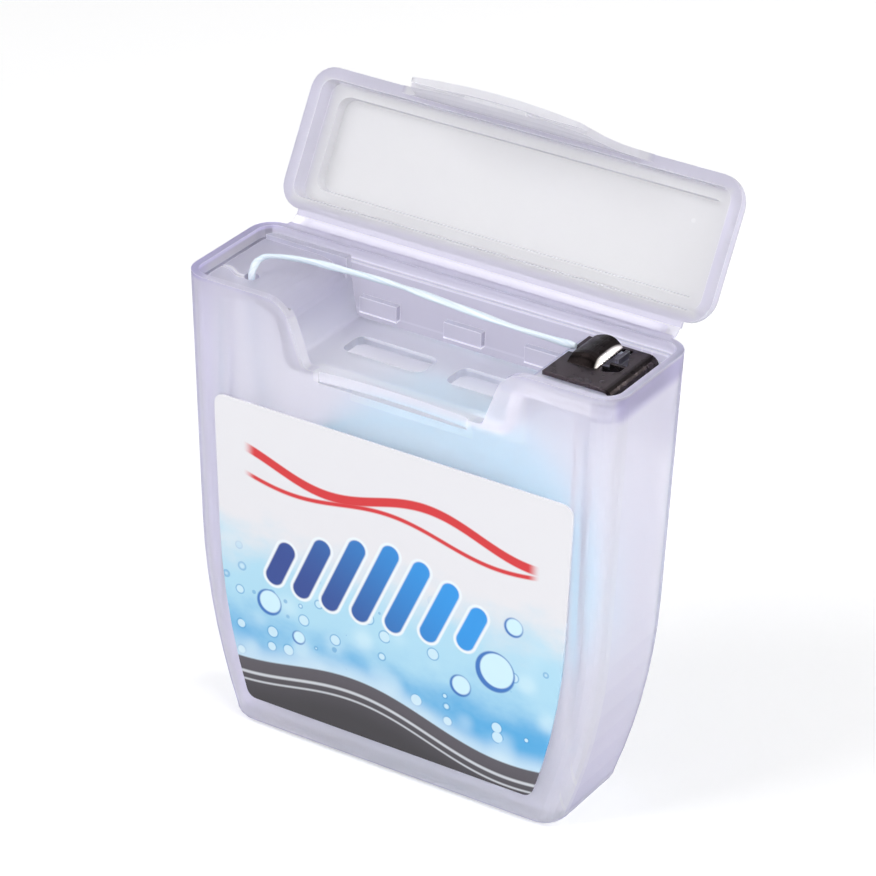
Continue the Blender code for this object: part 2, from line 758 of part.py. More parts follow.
def hang_on_hinge(body):
    """Gives the lid its origin on the hinge's axis and swings it open."""
    body.data.transform(Matrix.Translation((0.0, -HINGE_Y, -CASE_HEIGHT)))
    pivot = bpy.data.objects.new("lid_pivot", None)
    PARTS.objects.link(pivot)
    pivot.location = (0.0, HINGE_Y, CASE_HEIGHT)
    pivot.rotation_euler = (-LID_OPEN_ANGLE, 0.0, 0.0)
    body.parent = pivot
    hang_tools(body, pivot)


def hang_tools(piece, pivot):
    """Takes the tools of a piece, and their own tools, along to the hinge."""
    for modifier in piece.modifiers:
        if modifier.type == "BOOLEAN":
            tool = modifier.object
            tool.data.transform(Matrix.Translation((0.0, -HINGE_Y, -CASE_HEIGHT)))
            tool.parent = pivot
            hang_tools(tool, pivot)


def hinge_film(material):
    """The thin web of the film hinge, reduced to the line that it bends about."""
    place = Matrix.Rotation(math.pi / 2, 4, "Y")
    mesh = rod_mesh("hinge_film", HINGE_FILM_RADIUS, HINGE_LENGTH, place, ROUND_FACETS // 4)
    film = part_object("hinge_film", mesh, material)
    film.location = (0.0, HINGE_Y, CASE_HEIGHT)
    shade_round(film)
    return film


def insert_profile():
    """The insert's top line from left to right: deck, shoulder, floor, shoulder, deck."""
    over = CASE_WIDTH / 2
    flank_x = FLOOR_HALF + FLANK_LEAN
    points = [(-over, LEFT_DECK_Z)]
    for step in range(SHOULDER_FACETS + 1):
        angle = step / SHOULDER_FACETS * math.pi / 2
        points.append((
            -flank_x - LEFT_SHOULDER_RUN * (1.0 - math.sin(angle)),
            LEFT_DECK_Z - LEFT_SHOULDER_RISE * (1.0 - math.cos(angle))))
    left_foot = [(-flank_x, LEFT_DECK_Z - LEFT_SHOULDER_RISE, 0.0),
                 (-FLOOR_HALF, FLOOR_Z, FLOOR_RADIUS), (0.0, FLOOR_Z, 0.0)]
    points += filleted(left_foot, cyclic=False)[1:]
    right_foot = [(0.0, FLOOR_Z, 0.0), (FLOOR_HALF - FLANK_LEAN, FLOOR_Z, FLOOR_RADIUS),
                  (FLOOR_HALF, RIGHT_DECK_Z - RIGHT_SHOULDER_RISE, 0.0)]
    points += filleted(right_foot, cyclic=False)[1:]
    for step in range(1, SHOULDER_FACETS + 1):
        angle = step / SHOULDER_FACETS * math.pi / 2
        points.append((
            FLOOR_HALF + RIGHT_SHOULDER_RUN * (1.0 - math.cos(angle)),
            RIGHT_DECK_Z - RIGHT_SHOULDER_RISE * (1.0 - math.sin(angle))))
    points.append((over, RIGHT_DECK_Z))
    return points


def insert(material):
    """The clip-in insert: a folded sheet swept front to back, trimmed to the case."""
    bm = bmesh.new()
    line = [bm.verts.new((x, -CASE_DEPTH / 2, z)) for x, z in insert_profile()]
    edges = [bm.edges.new(pair) for pair in zip(line, line[1:])]
    swept = bmesh.ops.extrude_edge_only(bm, edges=edges)
    moved = [item for item in swept["geom"] if isinstance(item, bmesh.types.BMVert)]
    bmesh.ops.translate(bm, vec=(0.0, CASE_DEPTH, 0.0), verts=moved)
    face_up(bm)
    sheet = part_object("insert", mesh_from(bm, "insert"), material)
    wall = sheet.modifiers.new("wall", "SOLIDIFY")
    wall.thickness = INSERT_WALL
    wall.offset = -1.0
    wall.use_even_offset = True
    add_insert_web(sheet)
    low = FLOOR_Z - 2 * INSERT_WALL
    rings = [rounded_ring(inner_half_width(z) - INSERT_GAP, inner_half_depth(z) - INSERT_GAP,
                          CASE_CORNER - CASE_WALL, z) for z in (low, CASE_HEIGHT)]
    trim = tool_object("insert_outline", loft_mesh("insert_outline", rings))
    combine(sheet, trim, "INTERSECT")
    cut_slots(sheet)
    cut_eyelet(sheet)
    fit_cutter(sheet)
    shade_round(sheet)
    return sheet


def add_insert_web(sheet):
    """The upstand along the back of the left deck, which ends at the well."""
    back = CASE_DEPTH / 2
    top = LEFT_DECK_Z + WEB_HEIGHT
    inner_x = -(FLOOR_HALF + INSERT_WALL)
    foot_x = inner_x - WEB_THICKNESS
    under = LEFT_DECK_Z - INSERT_WALL + WEB_BITE
    foot_z = FLOOR_Z - INSERT_WALL + WEB_BITE
    outline = [(-CASE_WIDTH / 2, under), (foot_x - WEB_THICKNESS, under), (foot_x, foot_z),
               (inner_x, foot_z), (inner_x, top), (-CASE_WIDTH / 2, top)]
    front = inner_half_depth(top) - INSERT_GAP - WEB_THICKNESS
    web = plate_mesh("insert_web", outline, back - front, upright((back + front) / 2))
    join(sheet, tool_object("insert_web", web))


def cut_slots(sheet):
    """Two long slots in the floor, with a bridge between them."""
    middle_y = SLOT_BACK - SLOT_WIDTH / 2
    ends = ((-FLOOR_HALF + SLOT_END_GAP, BRIDGE_OFFSET - BRIDGE_WIDTH / 2),
            (BRIDGE_OFFSET + BRIDGE_WIDTH / 2, FLOOR_HALF - SLOT_END_GAP))
    for index, (left, right) in enumerate(ends):
        corners = [(left, middle_y - SLOT_WIDTH / 2, SLOT_RADIUS),
                   (right, middle_y - SLOT_WIDTH / 2, SLOT_RADIUS),
                   (right, middle_y + SLOT_WIDTH / 2, SLOT_RADIUS),
                   (left, middle_y + SLOT_WIDTH / 2, SLOT_RADIUS)]
        name = "floor_slot_%d" % (index + 1)
        mesh = plate_mesh(name, filleted(corners), 2 * INSERT_WALL,
                          level(FLOOR_Z - INSERT_WALL / 2))
        cut(sheet, tool_object(name, mesh))


def eyelet_x():
    return -inner_half_width(LEFT_DECK_Z) + EYELET_FROM_END


def cut_eyelet(sheet):
    """The hole that the floss comes up through, and the slit that it is threaded by."""
    x = eyelet_x()
    middle_z = LEFT_DECK_Z - INSERT_WALL / 2
    place = Matrix.Translation((x, -EYELET_FORWARD, middle_z))
    hole = rod_mesh("eyelet", EYELET_RADIUS, 2 * INSERT_WALL, place, ROUND_FACETS // 2)
    cut(sheet, tool_object("eyelet", hole))
    near, far = [], []
    for step in range(SLIT_STEPS + 1):
        share = step / SLIT_STEPS
        along = x - share * (EYELET_FROM_END + OVERRUN)
        swing = SLIT_SWING * math.sin(share * 2 * math.pi)
        near.append((along, -EYELET_FORWARD - swing * SLIT_SIDE_SHARE - SLIT_WIDTH / 2))
        far.append((along, -EYELET_FORWARD - swing * SLIT_SIDE_SHARE + SLIT_WIDTH / 2))
    mesh = plate_mesh("slit", near + far[::-1], 2 * INSERT_WALL, level(middle_z))
    cut(sheet, tool_object("slit", mesh))


def cutter_right():
    """Outer side of the cutter's bent flap."""
    return inner_half_width(RIGHT_DECK_Z) - CUTTER_FROM_END


def cutter_left():
    return cutter_right() - CUTTER_LENGTH


def cutter_top():
    return RIGHT_DECK_Z + RUNNING_GAP + CUTTER_GAUGE


def insert_half_depth():
    """Half depth of the insert at its right deck."""
    return inner_half_depth(RIGHT_DECK_Z) - INSERT_GAP


def cutter_front():
    return -(insert_half_depth() - CUTTER_FRONT_MARGIN)


def cutter_back():
    return insert_half_depth() - CUTTER_BACK_MARGIN


def hood_front():
    return cutter_back() - HOOD_FROM_BACK - HOOD_LENGTH


def prong_back():
    return cutter_back() - PRONG_FROM_BACK


def hood_left():
    return cutter_left() + HOOD_FROM_EDGE


def hood_right():
    return hood_left() + HOOD_WIDTH


def window_front():
    """Front edge of the window, just behind the hood's root."""
    return hood_front() + HOOD_GAUGE + 2 * RUNNING_GAP


def prong_span():
    """Left and right sides of the prong that anchors the cutter in the deck."""
    left = hood_left() + HOOD_WIDTH * PRONG_LEFT_SHARE
    return left, hood_right() + WINDOW_FRONT_REACH - RUNNING_GAP


def fit_cutter(sheet):
    """The deck's cut-outs for the cutter's flap and prong, and the lug beside its hood."""
    under = RIGHT_DECK_Z - 2 * INSERT_WALL
    over = RIGHT_DECK_Z + OVERRUN
    cut(sheet, box_tool(
        "flap_clearance",
        (cutter_right() - CUTTER_GAUGE - RUNNING_GAP, cutter_front() - RUNNING_GAP, under),
        (CASE_WIDTH / 2, cutter_back() + RUNNING_GAP, over)))
    left, right = prong_span()
    cut(sheet, box_tool(
        "prong_clearance",
        (left - RUNNING_GAP, window_front() - WINDOW_SLANT - RUNNING_GAP, under),
        (right + RUNNING_GAP, prong_back() + RUNNING_GAP, over)))
    front = prong_back() + 2 * RUNNING_GAP
    beside = hood_right() + RUNNING_GAP
    join(sheet, box_tool(
        "cutter_lug", (beside, front, RIGHT_DECK_Z - INSERT_WALL / 2),
        (beside + LUG_THICKNESS, front + LUG_LENGTH, cutter_top() + LUG_HEIGHT)))


def cutter(material):
    """The cutter: a steel plate with a bent flap, a notch, a hole and a toothed hood."""
    left = cutter_left()
    right = cutter_right()
    top = cutter_top()
    bend = [(left, top, 0.0), (right, top, CUTTER_BEND), (right, top - CUTTER_FLAP, 0.0)]
    line = filleted(bend, cyclic=False)
    bm = bmesh.new()
    verts = [bm.verts.new((x, cutter_front(), z)) for x, z in line]
    edges = [bm.edges.new(pair) for pair in zip(verts, verts[1:])]
    swept = bmesh.ops.extrude_edge_only(bm, edges=edges)
    moved = [item for item in swept["geom"] if isinstance(item, bmesh.types.BMVert)]
    bmesh.ops.translate(bm, vec=(0.0, cutter_back() - cutter_front(), 0.0), verts=moved)
    face_up(bm)
    plate = part_object("cutter", mesh_from(bm, "cutter"), material)
    gauge = plate.modifiers.new("gauge", "SOLIDIFY")
    gauge.thickness = CUTTER_GAUGE
    gauge.offset = -1.0
    gauge.use_even_offset = True
    middle_z = top - CUTTER_GAUGE / 2
    notch_back = cutter_back() - NOTCH_FROM_BACK
    notch_front = notch_back - NOTCH_WIDTH
    notch = [(left - OVERRUN, notch_back, 0.0), (left - OVERRUN, notch_front, 0.0),
             (left + NOTCH_DEPTH, notch_front, NOTCH_DEPTH / 2),
             (left + NOTCH_DEPTH, notch_back, NOTCH_DEPTH / 2)]
    mesh = plate_mesh("notch", filleted(notch), 2 * CUTTER_GAUGE, level(middle_z))
    cut(plate, tool_object("notch", mesh))
    cut_window(plate, middle_z)
    add_prong(plate)
    join(plate, hood())
    shade_round(plate)
    return plate


def cut_window(plate, middle_z):
    """The hole that the hood and the prong are lanced out of."""
    left = hood_left() + HOOD_WIDTH * WINDOW_LEFT_SHARE
    near = hood_right()
    front = window_front()
    back = hood_front() + HOOD_LENGTH + RUNNING_GAP
    beside = near + RUNNING_GAP / 2
    corners = [(left, front), (beside, front), (beside + RUNNING_GAP, front - WINDOW_SLANT),
               (near + WINDOW_FRONT_REACH, front), (near + WINDOW_FRONT_REACH, prong_back()),
               (near + WINDOW_BACK_REACH, prong_back() + LUG_LENGTH),
               (near + WINDOW_BACK_REACH, back),
               (left, back)]
    outline = filleted([(x, y, WINDOW_RADIUS) for x, y in corners])
    mesh = plate_mesh("window", outline, 2 * CUTTER_GAUGE, level(middle_z))
    cut(plate, tool_object("window", mesh))


def add_prong(plate):
    """The prong bent down out of the window, which hooks through the deck and under the hood."""
    left, right = prong_span()
    top = cutter_top()
    low = top - CUTTER_GAUGE * PRONG_ROOT_SHARE
    high = top - CUTTER_GAUGE * (1.0 - PRONG_ROOT_SHARE)
    root = right + 2 * RUNNING_GAP
    foot = top - CUTTER_GAUGE - PRONG_REACH
    beside = hood_right() + RUNNING_GAP
    shelf = top - CUTTER_GAUGE - RUNNING_GAP
    outline = [(left, foot), (right, foot), (right, low), (root, low), (root, high),
               (beside, high), (beside, shelf), (left, shelf)]
    mesh = plate_mesh("prong", outline, CUTTER_GAUGE, upright(prong_back() - CUTTER_GAUGE / 2))
    join(plate, tool_object("prong", mesh))


def hood_height(across, along):
    """Height of the hood's top over the plate; across runs 0 to 1, along 0 to 1."""
    arch = max(0.0, math.sin(math.pi * across)) ** HOOD_ARCH_SHARE
    edge = HOOD_GAUGE + HOOD_LEFT_LIFT - (HOOD_LEFT_LIFT + HOOD_RIGHT_DIP) * across
    rise = min(1.0, along / HOOD_RAMP_SHARE)
    ramp = math.sin(rise * math.pi / 2)
    crest = HOOD_HEIGHT + HOOD_RISE * along
    return ramp * (edge + (crest - edge) * arch)


def hood():
    """The arched hood: rooted at its front, open behind, toothed along its right edge."""
    bm = bmesh.new()
    bmesh.ops.create_grid(bm, x_segments=HOOD_COLUMNS, y_segments=HOOD_ROWS, size=1.0)
    for vert in bm.verts:
        across = (vert.co.x + 1.0) / 2
        along = (vert.co.y + 1.0) / 2
        z = cutter_top() - HOOD_SINK + hood_height(across, along)
        vert.co = (hood_left() + HOOD_WIDTH * across, hood_front() + HOOD_LENGTH * along, z)
    sheet = tool_object("hood", mesh_from(bm, "hood"))
    gauge = sheet.modifiers.new("gauge", "SOLIDIFY")
    gauge.thickness = HOOD_GAUGE
    gauge.offset = -1.0
    cut(sheet, tool_object("teeth", teeth_mesh()))
    return sheet


def teeth_mesh():
    """A saw-toothed block that leaves teeth along the hood's right edge."""
    near = hood_right()
    start = hood_front() + HOOD_LENGTH * HOOD_RAMP_SHARE
    pitch = (HOOD_LENGTH * (1.0 - HOOD_RAMP_SHARE) - TOOTH_MARGIN) / TOOTH_COUNT
    outline = []
    for index in range(TOOTH_COUNT):
        outline.append((near + TOOTH_TIP_CUT, start + pitch * index))
        outline.append((near - TOOTH_DEPTH, start + pitch * (index + 1 / 2)))
    outline.append((near + TOOTH_TIP_CUT, start + pitch * TOOTH_COUNT))
    outline.append((near + 2 * OVERRUN, start + pitch * TOOTH_COUNT))
    outline.append((near + 2 * OVERRUN, start))
    return plate_mesh("teeth", outline, HOOD_HEIGHT, level(cutter_top()))


def bobbin_span():
    """The bobbin's ends on the spool's axis, rear and front."""
    rear = boss_shoulder_y() - RUNNING_GAP
    narrow = inner_half_depth(SPOOL_Z - SPOOL_RADIUS)
    front = -narrow + 2 * RUNNING_GAP
    return rear, front


def bobbin_core(material):
    """The moulded sleeve that carries the floss and turns on the case's pin."""
    rear, front = bobbin_span()
    length = rear - front
    bore = PIN_RADIUS + RUNNING_GAP
    outer = bore + BOBBIN_WALL
    rim = outer + BOBBIN_RIM_HEIGHT
    profile = (
        (bore, length), (rim, length), (rim, length - BOBBIN_RIM_WIDTH),
        (outer, length - BOBBIN_RIM_WIDTH), (outer, BOBBIN_RIM_WIDTH),
        (rim, BOBBIN_RIM_WIDTH), (rim, 0.0), (bore, 0.0),
    )
    mesh = turned_mesh("bobbin_core", profile, Matrix.Identity(4), ROUND_FACETS, closed=True)
    sleeve = part_object("bobbin_core", mesh, material)
    shade_round(sleeve)
    return place_on_spool(sleeve, rear)


def place_on_spool(piece, y):
    piece.location = (SPOOL_OFFSET, y, SPOOL_Z)
    piece.rotation_euler = (math.pi / 2, 0.0, 0.0)
    return piece


def floss_pack(material):
    """The lower layers of the floss, as a plain ring between the bobbin's rims."""
    rear, front = bobbin_span()
    length = rear - front - 2 * (BOBBIN_RIM_WIDTH - PACK_MARGIN)
    inner = PIN_RADIUS + BOBBIN_WALL + BOBBIN_RIM_HEIGHT + 2 * RUNNING_GAP
    profile = ((inner, length), (PACK_RADIUS, length), (PACK_RADIUS, 0.0), (inner, 0.0))
    mesh = turned_mesh("floss_pack", profile, Matrix.Identity(4), ROUND_FACETS, closed=True)
    ring = part_object("floss_pack", mesh, material)
    shade_round(ring)
    return place_on_spool(ring, rear - BOBBIN_RIM_WIDTH + PACK_MARGIN)


def winding_points(length):
    """The outer layer as one helix, with a straight end each way."""
    pitch = FLOSS_DIAMETER + FLOSS_TURN_GAP
    width = length - FLOSS_DIAMETER
    loops = int(width / pitch * 2) / 2
    start_z = (length - loops * pitch) / 2
    steps = int(loops * LOOP_POINTS)
    helix = []
    for step in range(steps + 1):
        angle = 2 * math.pi * step / LOOP_POINTS
        helix.append((WINDING_RADIUS * math.cos(angle), WINDING_RADIUS * math.sin(angle),
                      start_z + pitch * step / LOOP_POINTS))
    ends = []
    for at, towards in ((0, 1), (-1, -2)):
        angle = math.atan2(helix[at][1], helix[at][0])
        side = -1.0 if at == 0 else 1.0
        ends.append((helix[at][0] - side * FLOSS_DIAMETER * math.sin(angle),
                     helix[at][1] + side * FLOSS_DIAMETER * math.cos(angle), helix[at][2]))
    return [ends[0], *helix, ends[1]]


def least_gap(points, radius):
    """Least free space between one loop of a tube and the others."""
    least = None
    for first in range(len(points)):
        for second in range(first + LOOP_POINTS // 2, len(points)):
            apart = math.dist(points[first], points[second])
            least = apart if least is None else min(least, apart)
    return least - 2 * radius


def floss_winding(material):
    """The outer layer of floss on the bobbin."""
    rear, front = bobbin_span()
    margin = BOBBIN_RIM_WIDTH - PACK_MARGIN
    points = winding_points(rear - front - 2 * margin)
    winding = tube_object("floss_winding", points, FLOSS_DIAMETER / 2, 1, material)
    print("floss_winding least gap to itself, mm:",
          round(least_gap(points, FLOSS_DIAMETER / 2) * 1000, 3))
    return place_on_spool(winding, rear - margin)


def smooth_line(points, step_length):
    """A smooth curve through the points, read off at even steps."""
    fine = []
    for index in range(len(points) - 1):
        before = points[max(0, index - 1)]
        start = points[index]
        end = points[index + 1]
        after = points[min(len(points) - 1, index + 2)]
        for part in range(CURVE_PARTS):
            t = part / CURVE_PARTS
            fine.append(tuple(
                ((2 * b) + (c - a) * t + (2 * a - 5 * b + 4 * c - d) * t ** 2
                 + (3 * b - a - 3 * c + d) * t ** 3) / 2
                for a, b, c, d in zip(before, start, end, after)))
    fine.append(points[-1])
    lengths = [math.dist(a, b) for a, b in zip(fine, fine[1:])]
    total = sum(lengths)
    count = max(2, round(total / step_length))
    line = [fine[0]]
    wanted = total / count
    travelled = 0.0
    for (start, end), length in zip(zip(fine, fine[1:]), lengths):
        while len(line) < count and travelled + length >= wanted * len(line):
            share = (wanted * len(line) - travelled) / length
            line.append(tuple(a + (b - a) * share for a, b in zip(start, end)))
        travelled += length
    line.append(fine[-1])
    return line, total


def floss_strand(material):
    """The free strand: off the bobbin, up through the eyelet and over to the cutter."""
    radius = SPOOL_RADIUS + RUNNING_GAP + STRAND_DIAMETER / 2
    lie_y = FLOSS_ROUTE[0][1]
    route = []
    for step in range(STRAND_LIE_STEPS + 1):
        share = step / STRAND_LIE_STEPS
        angle = STRAND_LIE_ANGLE + (STRAND_LEAVE_ANGLE - STRAND_LIE_ANGLE) * share
        route.append((SPOOL_OFFSET + radius * math.cos(angle), lie_y,
                      SPOOL_Z + radius * math.sin(angle)))
    line, total = smooth_line(route + list(FLOSS_ROUTE), STRAND_STEP)
    print("floss_strand length, mm:", round(total * 1000, 1), "points:", len(line))
    return tube_object("floss_strand", line, STRAND_DIAMETER / 2, 2, material)


def front_label(material):
    """The thin label on the front face, which follows the case's taper."""
    top = CASE_HEIGHT - LABEL_TOP_DROP
    right = []
    for step in range(LABEL_STEPS + 1):
        z = LABEL_FOOT + (top - LABEL_FOOT) * step / LABEL_STEPS
        at_corner = step in (0, LABEL_STEPS)
        right.append((half_width(z) - LABEL_SIDE_MARGIN, z, LABEL_CORNER if at_corner else 0.0))
    left = [(-x, z, radius) for x, z, radius in reversed(right)]
    outline = [(x, z - CASE_HEIGHT) for x, z in filleted(right + left)]
    face = -CASE_DEPTH / 2 - LABEL_GAP - LABEL_THICKNESS / 2
    tilt = math.atan(FACE_SLOPE_SHARE)
    place = Matrix.Translation((0.0, 0.0, CASE_HEIGHT)) @ upright(face, tilt)
    mesh = plate_mesh("front_label", outline, LABEL_THICKNESS, place)
    label = part_object("front_label", mesh, material)
    return label


def build():
    plastic = new_material("frosted_plastic", (0.86, 0.84, 0.91), 0.35, transmission=0.4)
    steel = new_material("dark_steel", (0.06, 0.05, 0.05), 0.35, metallic=1.0)
    core = new_material("bobbin_plastic", (0.85, 0.87, 0.90), 0.45)
    floss = new_material("waxed_floss", (0.72, 0.86, 0.93), 0.55)
    paper = new_material("label_film", (0.80, 0.90, 0.97), 0.30)
    case_shell(plastic)
    hang_on_hinge(lid(plastic))
    hinge_film(plastic)
    insert(plastic)
    cutter(steel)
    bobbin_core(core)
    floss_pack(floss)
    floss_winding(floss)
    floss_strand(floss)
    front_label(paper)


build()
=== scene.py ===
# %% [markdown]
# # A floss dispenser in frosted plastic
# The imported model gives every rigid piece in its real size. This script gives
# them their finishes, winds the floss, bends the hinge's film and sets up a
# plain studio. Lengths are in metres, +Z is up and the front faces -Y.

# %% Load the frame
import math

import bmesh
import bpy
from mathutils import Matrix, Vector


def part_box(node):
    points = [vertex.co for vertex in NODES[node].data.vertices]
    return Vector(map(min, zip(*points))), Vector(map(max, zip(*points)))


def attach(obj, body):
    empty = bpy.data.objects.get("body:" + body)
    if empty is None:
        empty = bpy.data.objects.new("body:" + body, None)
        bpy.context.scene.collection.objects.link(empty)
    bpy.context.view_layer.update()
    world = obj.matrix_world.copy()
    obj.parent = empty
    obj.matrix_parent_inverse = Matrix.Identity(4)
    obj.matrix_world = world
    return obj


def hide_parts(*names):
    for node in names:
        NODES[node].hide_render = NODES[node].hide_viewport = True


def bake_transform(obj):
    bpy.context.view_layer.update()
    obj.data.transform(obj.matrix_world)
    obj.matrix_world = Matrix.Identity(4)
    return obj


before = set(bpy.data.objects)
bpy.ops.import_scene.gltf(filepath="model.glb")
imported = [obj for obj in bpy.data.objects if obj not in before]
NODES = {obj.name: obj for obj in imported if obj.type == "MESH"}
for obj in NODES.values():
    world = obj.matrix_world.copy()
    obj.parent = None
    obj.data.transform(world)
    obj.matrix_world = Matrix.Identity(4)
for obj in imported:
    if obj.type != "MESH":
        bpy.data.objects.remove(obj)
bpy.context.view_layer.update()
MM = 0.001

# %% [markdown]
# ## Camera
# A long lens from the front left corner of a close desk view keeps the
# verticals nearly parallel. The three turns below are what makes the outlines
# fall where the photograph has them, and the lens comes from the same fit.

# %% Camera
PHOTO_SIDE = 876
FOCAL_PIXELS = 4305.61
SENSOR_MM = 36.0
AZIMUTH = math.radians(31.716)
ELEVATION = math.radians(28.395)
ROLL = math.radians(1.325)
EYE = Vector((198.4, -319.7, 239.2)) * MM


def camera_turn():
    """The camera's axes as the columns of a matrix: right, up and back."""
    level_right = Vector((math.cos(AZIMUTH), math.sin(AZIMUTH), 0.0))
    back = Vector((math.sin(AZIMUTH) * math.cos(ELEVATION),
                   -math.cos(AZIMUTH) * math.cos(ELEVATION), math.sin(ELEVATION)))
    level_up = back.cross(level_right)
    right = math.cos(ROLL) * level_right + math.sin(ROLL) * level_up
    up = math.cos(ROLL) * level_up - math.sin(ROLL) * level_right
    return Matrix((right, up, back)).transposed()


camera = bpy.data.objects.new("camera", bpy.data.cameras.new("camera"))
camera.data.sensor_width = SENSOR_MM
camera.data.lens = FOCAL_PIXELS * SENSOR_MM / PHOTO_SIDE
camera.data.clip_start = 0.01
camera.matrix_world = Matrix.Translation(EYE) @ camera_turn().to_4x4()
bpy.context.scene.collection.objects.link(camera)
bpy.context.scene.camera = camera
print("lens, mm:", round(camera.data.lens, 2))

# %% [markdown]
# ## Small helpers for pieces
# Every piece is a mesh whose place is in its own points, so its object stays
# at the origin. The same few lines finish each of them.


# %% Helpers for pieces
def show(name, mesh, material, body, smooth=True):
    """Links a finished mesh as a piece that rides on a body."""
    piece = bpy.data.objects.new(name, mesh)
    bpy.context.scene.collection.objects.link(piece)
    mesh.materials.clear()
    mesh.materials.append(material)
    if smooth:
        mesh.shade_smooth()
    if body:
        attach(piece, body)
    print(name, "faces:", len(mesh.polygons))
    return piece


def mesh_of(bm, name):
    mesh = bpy.data.meshes.new(name)
    bm.to_mesh(mesh)
    bm.free()
    return mesh


# %% [markdown]
# ## Small helpers for materials
# A node tree is easier to read when each node is one call. A socket is named
# by its label, or by its number where a node has several of one name.


# %% Helpers for materials
def put(tree, kind, settings=None, **values):
    """Adds a node, sets its options, and fills or links its inputs."""
    node = tree.nodes.new(kind)
    for key, value in (settings or {}).items():
        setattr(node, key, value)
    for key, value in values.items():
        numbered = key[0] == "i" and key[1:].isdigit()
        socket = node.inputs[int(key[1:]) if numbered else key.replace("_", " ")]
        if isinstance(value, bpy.types.NodeSocket):
            tree.links.new(value, socket)
        else:
            socket.default_value = value
    return node


def calc(tree, operation, first, second=0.0, third=0.0):
    """One step of arithmetic."""
    return put(tree, "ShaderNodeMath", {"operation": operation},
               i0=first, i1=second, i2=third).outputs[0]


def fade(tree, value, low, high, to_low=0.0, to_high=1.0):
    """Turns a value between two limits smoothly into another range."""
    node = put(tree, "ShaderNodeMapRange", {"interpolation_type": "SMOOTHSTEP"},
               Value=value, From_Min=low, From_Max=high, To_Min=to_low, To_Max=to_high)
    return node.outputs[0]


def blend_colour(tree, factor, first, second):
    node = put(tree, "ShaderNodeMix", {"data_type": "RGBA"}, i0=factor, i6=first, i7=second)
    return node.outputs[2]


def colour(red, green, blue):
    return (red, green, blue, 1.0)


def noise(tree, place, scale, detail=2.0, roughness=0.5):
    node = put(tree, "ShaderNodeTexNoise", Vector=place, Scale=scale,
               Detail=detail, Roughness=roughness)
    return node.outputs[0]


def object_place(tree):
    return put(tree, "ShaderNodeTexCoord").outputs["Object"]


def new_finish(name):
    """A material with its Principled shader, ready for nodes."""
    material = bpy.data.materials.new(name)
    material.use_nodes = True
    return material, material.node_tree, material.node_tree.nodes["Principled BSDF"]


def new_group(name, inputs, outputs):
    """A node group with named sockets, given as (name, kind, value)."""
    group = bpy.data.node_groups.new(name, "ShaderNodeTree")
    for label, kind, value in inputs:
        socket = group.interface.new_socket(label, in_out="INPUT", socket_type=kind)
        if value is not None:
            socket.default_value = value
    for label, kind in outputs:
        group.interface.new_socket(label, in_out="OUTPUT", socket_type=kind)
    return group, group.nodes.new("NodeGroupInput").outputs, group.nodes.new("NodeGroupOutput").inputs


def use(tree, group, **values):
    return put(tree, "ShaderNodeGroup", {"node_tree": group}, **values).outputs


# %% [markdown]
# ## Frosting
# The case, lid and insert come out of spark-eroded moulds, which leave a very
# fine grain. A faint flow pattern from the moulding lies under it. Both are
# small heights for a Bump node, and the flow also varies the roughness and
# the tint. All frosted pieces use them, so they are one node group.

# %% Frosting group
frosting, given, gives = new_group(
    "frosting",
    [("Place", "NodeSocketVector", None), ("Grain Scale", "NodeSocketFloat", 5200.0),
     ("Flow Scale", "NodeSocketFloat", 130.0), ("Rough Low", "NodeSocketFloat", 0.30),
     ("Rough High", "NodeSocketFloat", 0.42)],
    [("Height", "NodeSocketFloat"), ("Roughness", "NodeSocketFloat"), ("Cloud", "NodeSocketFloat")])
grain = noise(frosting, given["Place"], given["Grain Scale"], 3.0)
flow = noise(frosting, given["Place"], given["Flow Scale"], 3.0, 0.6)
FLOW_TO_GRAIN = 2.5
FLOW_LOW, FLOW_HIGH = 0.3, 0.7
both = calc(frosting, "MULTIPLY_ADD", flow, FLOW_TO_GRAIN, grain)
frosting.links.new(both, gives["Height"])
frosting.links.new(flow, gives["Cloud"])
spread = put(frosting, "ShaderNodeMapRange", Value=flow, From_Min=FLOW_LOW, From_Max=FLOW_HIGH,
             To_Min=given["Rough Low"], To_Max=given["Rough High"])
frosting.links.new(spread.outputs[0], gives["Roughness"])
print("frosting nodes:", len(frosting.nodes))

# %% [markdown]
# ## Sharp edges
# Light that has run along inside a clear wall leaves it at a sharp edge, so
# such an edge looks paler than the faces beside it. Here that is painted
# light: a paler colour and a faint glow. The Bevel node finds these
# places, since its normal leaves the face's own normal only near an edge.

# %% Sharp edges group
EDGE_REACH = 0.14 * MM
AGREE_ON_FACE, AGREE_AT_EDGE = 0.97, 0.78
sharp_edges, given, gives = new_group("sharp_edges", [("Reach", "NodeSocketFloat", EDGE_REACH)],
                                      [("Share", "NodeSocketFloat")])
bevelled = put(sharp_edges, "ShaderNodeBevel", {"samples": 4}, Radius=given["Reach"]).outputs[0]
face = put(sharp_edges, "ShaderNodeNewGeometry").outputs["True Normal"]
agree = put(sharp_edges, "ShaderNodeVectorMath", {"operation": "DOT_PRODUCT"},
            i0=bevelled, i1=face).outputs["Value"]
agree = calc(sharp_edges, "ABSOLUTE", agree)
sharp_edges.links.new(fade(sharp_edges, agree, AGREE_ON_FACE, AGREE_AT_EDGE), gives["Share"])
print("sharp edges reach, mm:", EDGE_REACH / MM)

# %% [markdown]
# ## Zones
# A mask is a value that says how much of a colour a place gets. Most masks
# here are zones: a share, and a few limits on measures of the piece, such as
# how far up a place is, in millimetres. The limits are soft, so no line shows
# where a zone starts. A limit of three numbers is low, high and softness. One
# of two or four is a fade: from, to, and the shares there if not 0 and 1.
# Tables keep these numbers together, and one function makes the nodes of any.


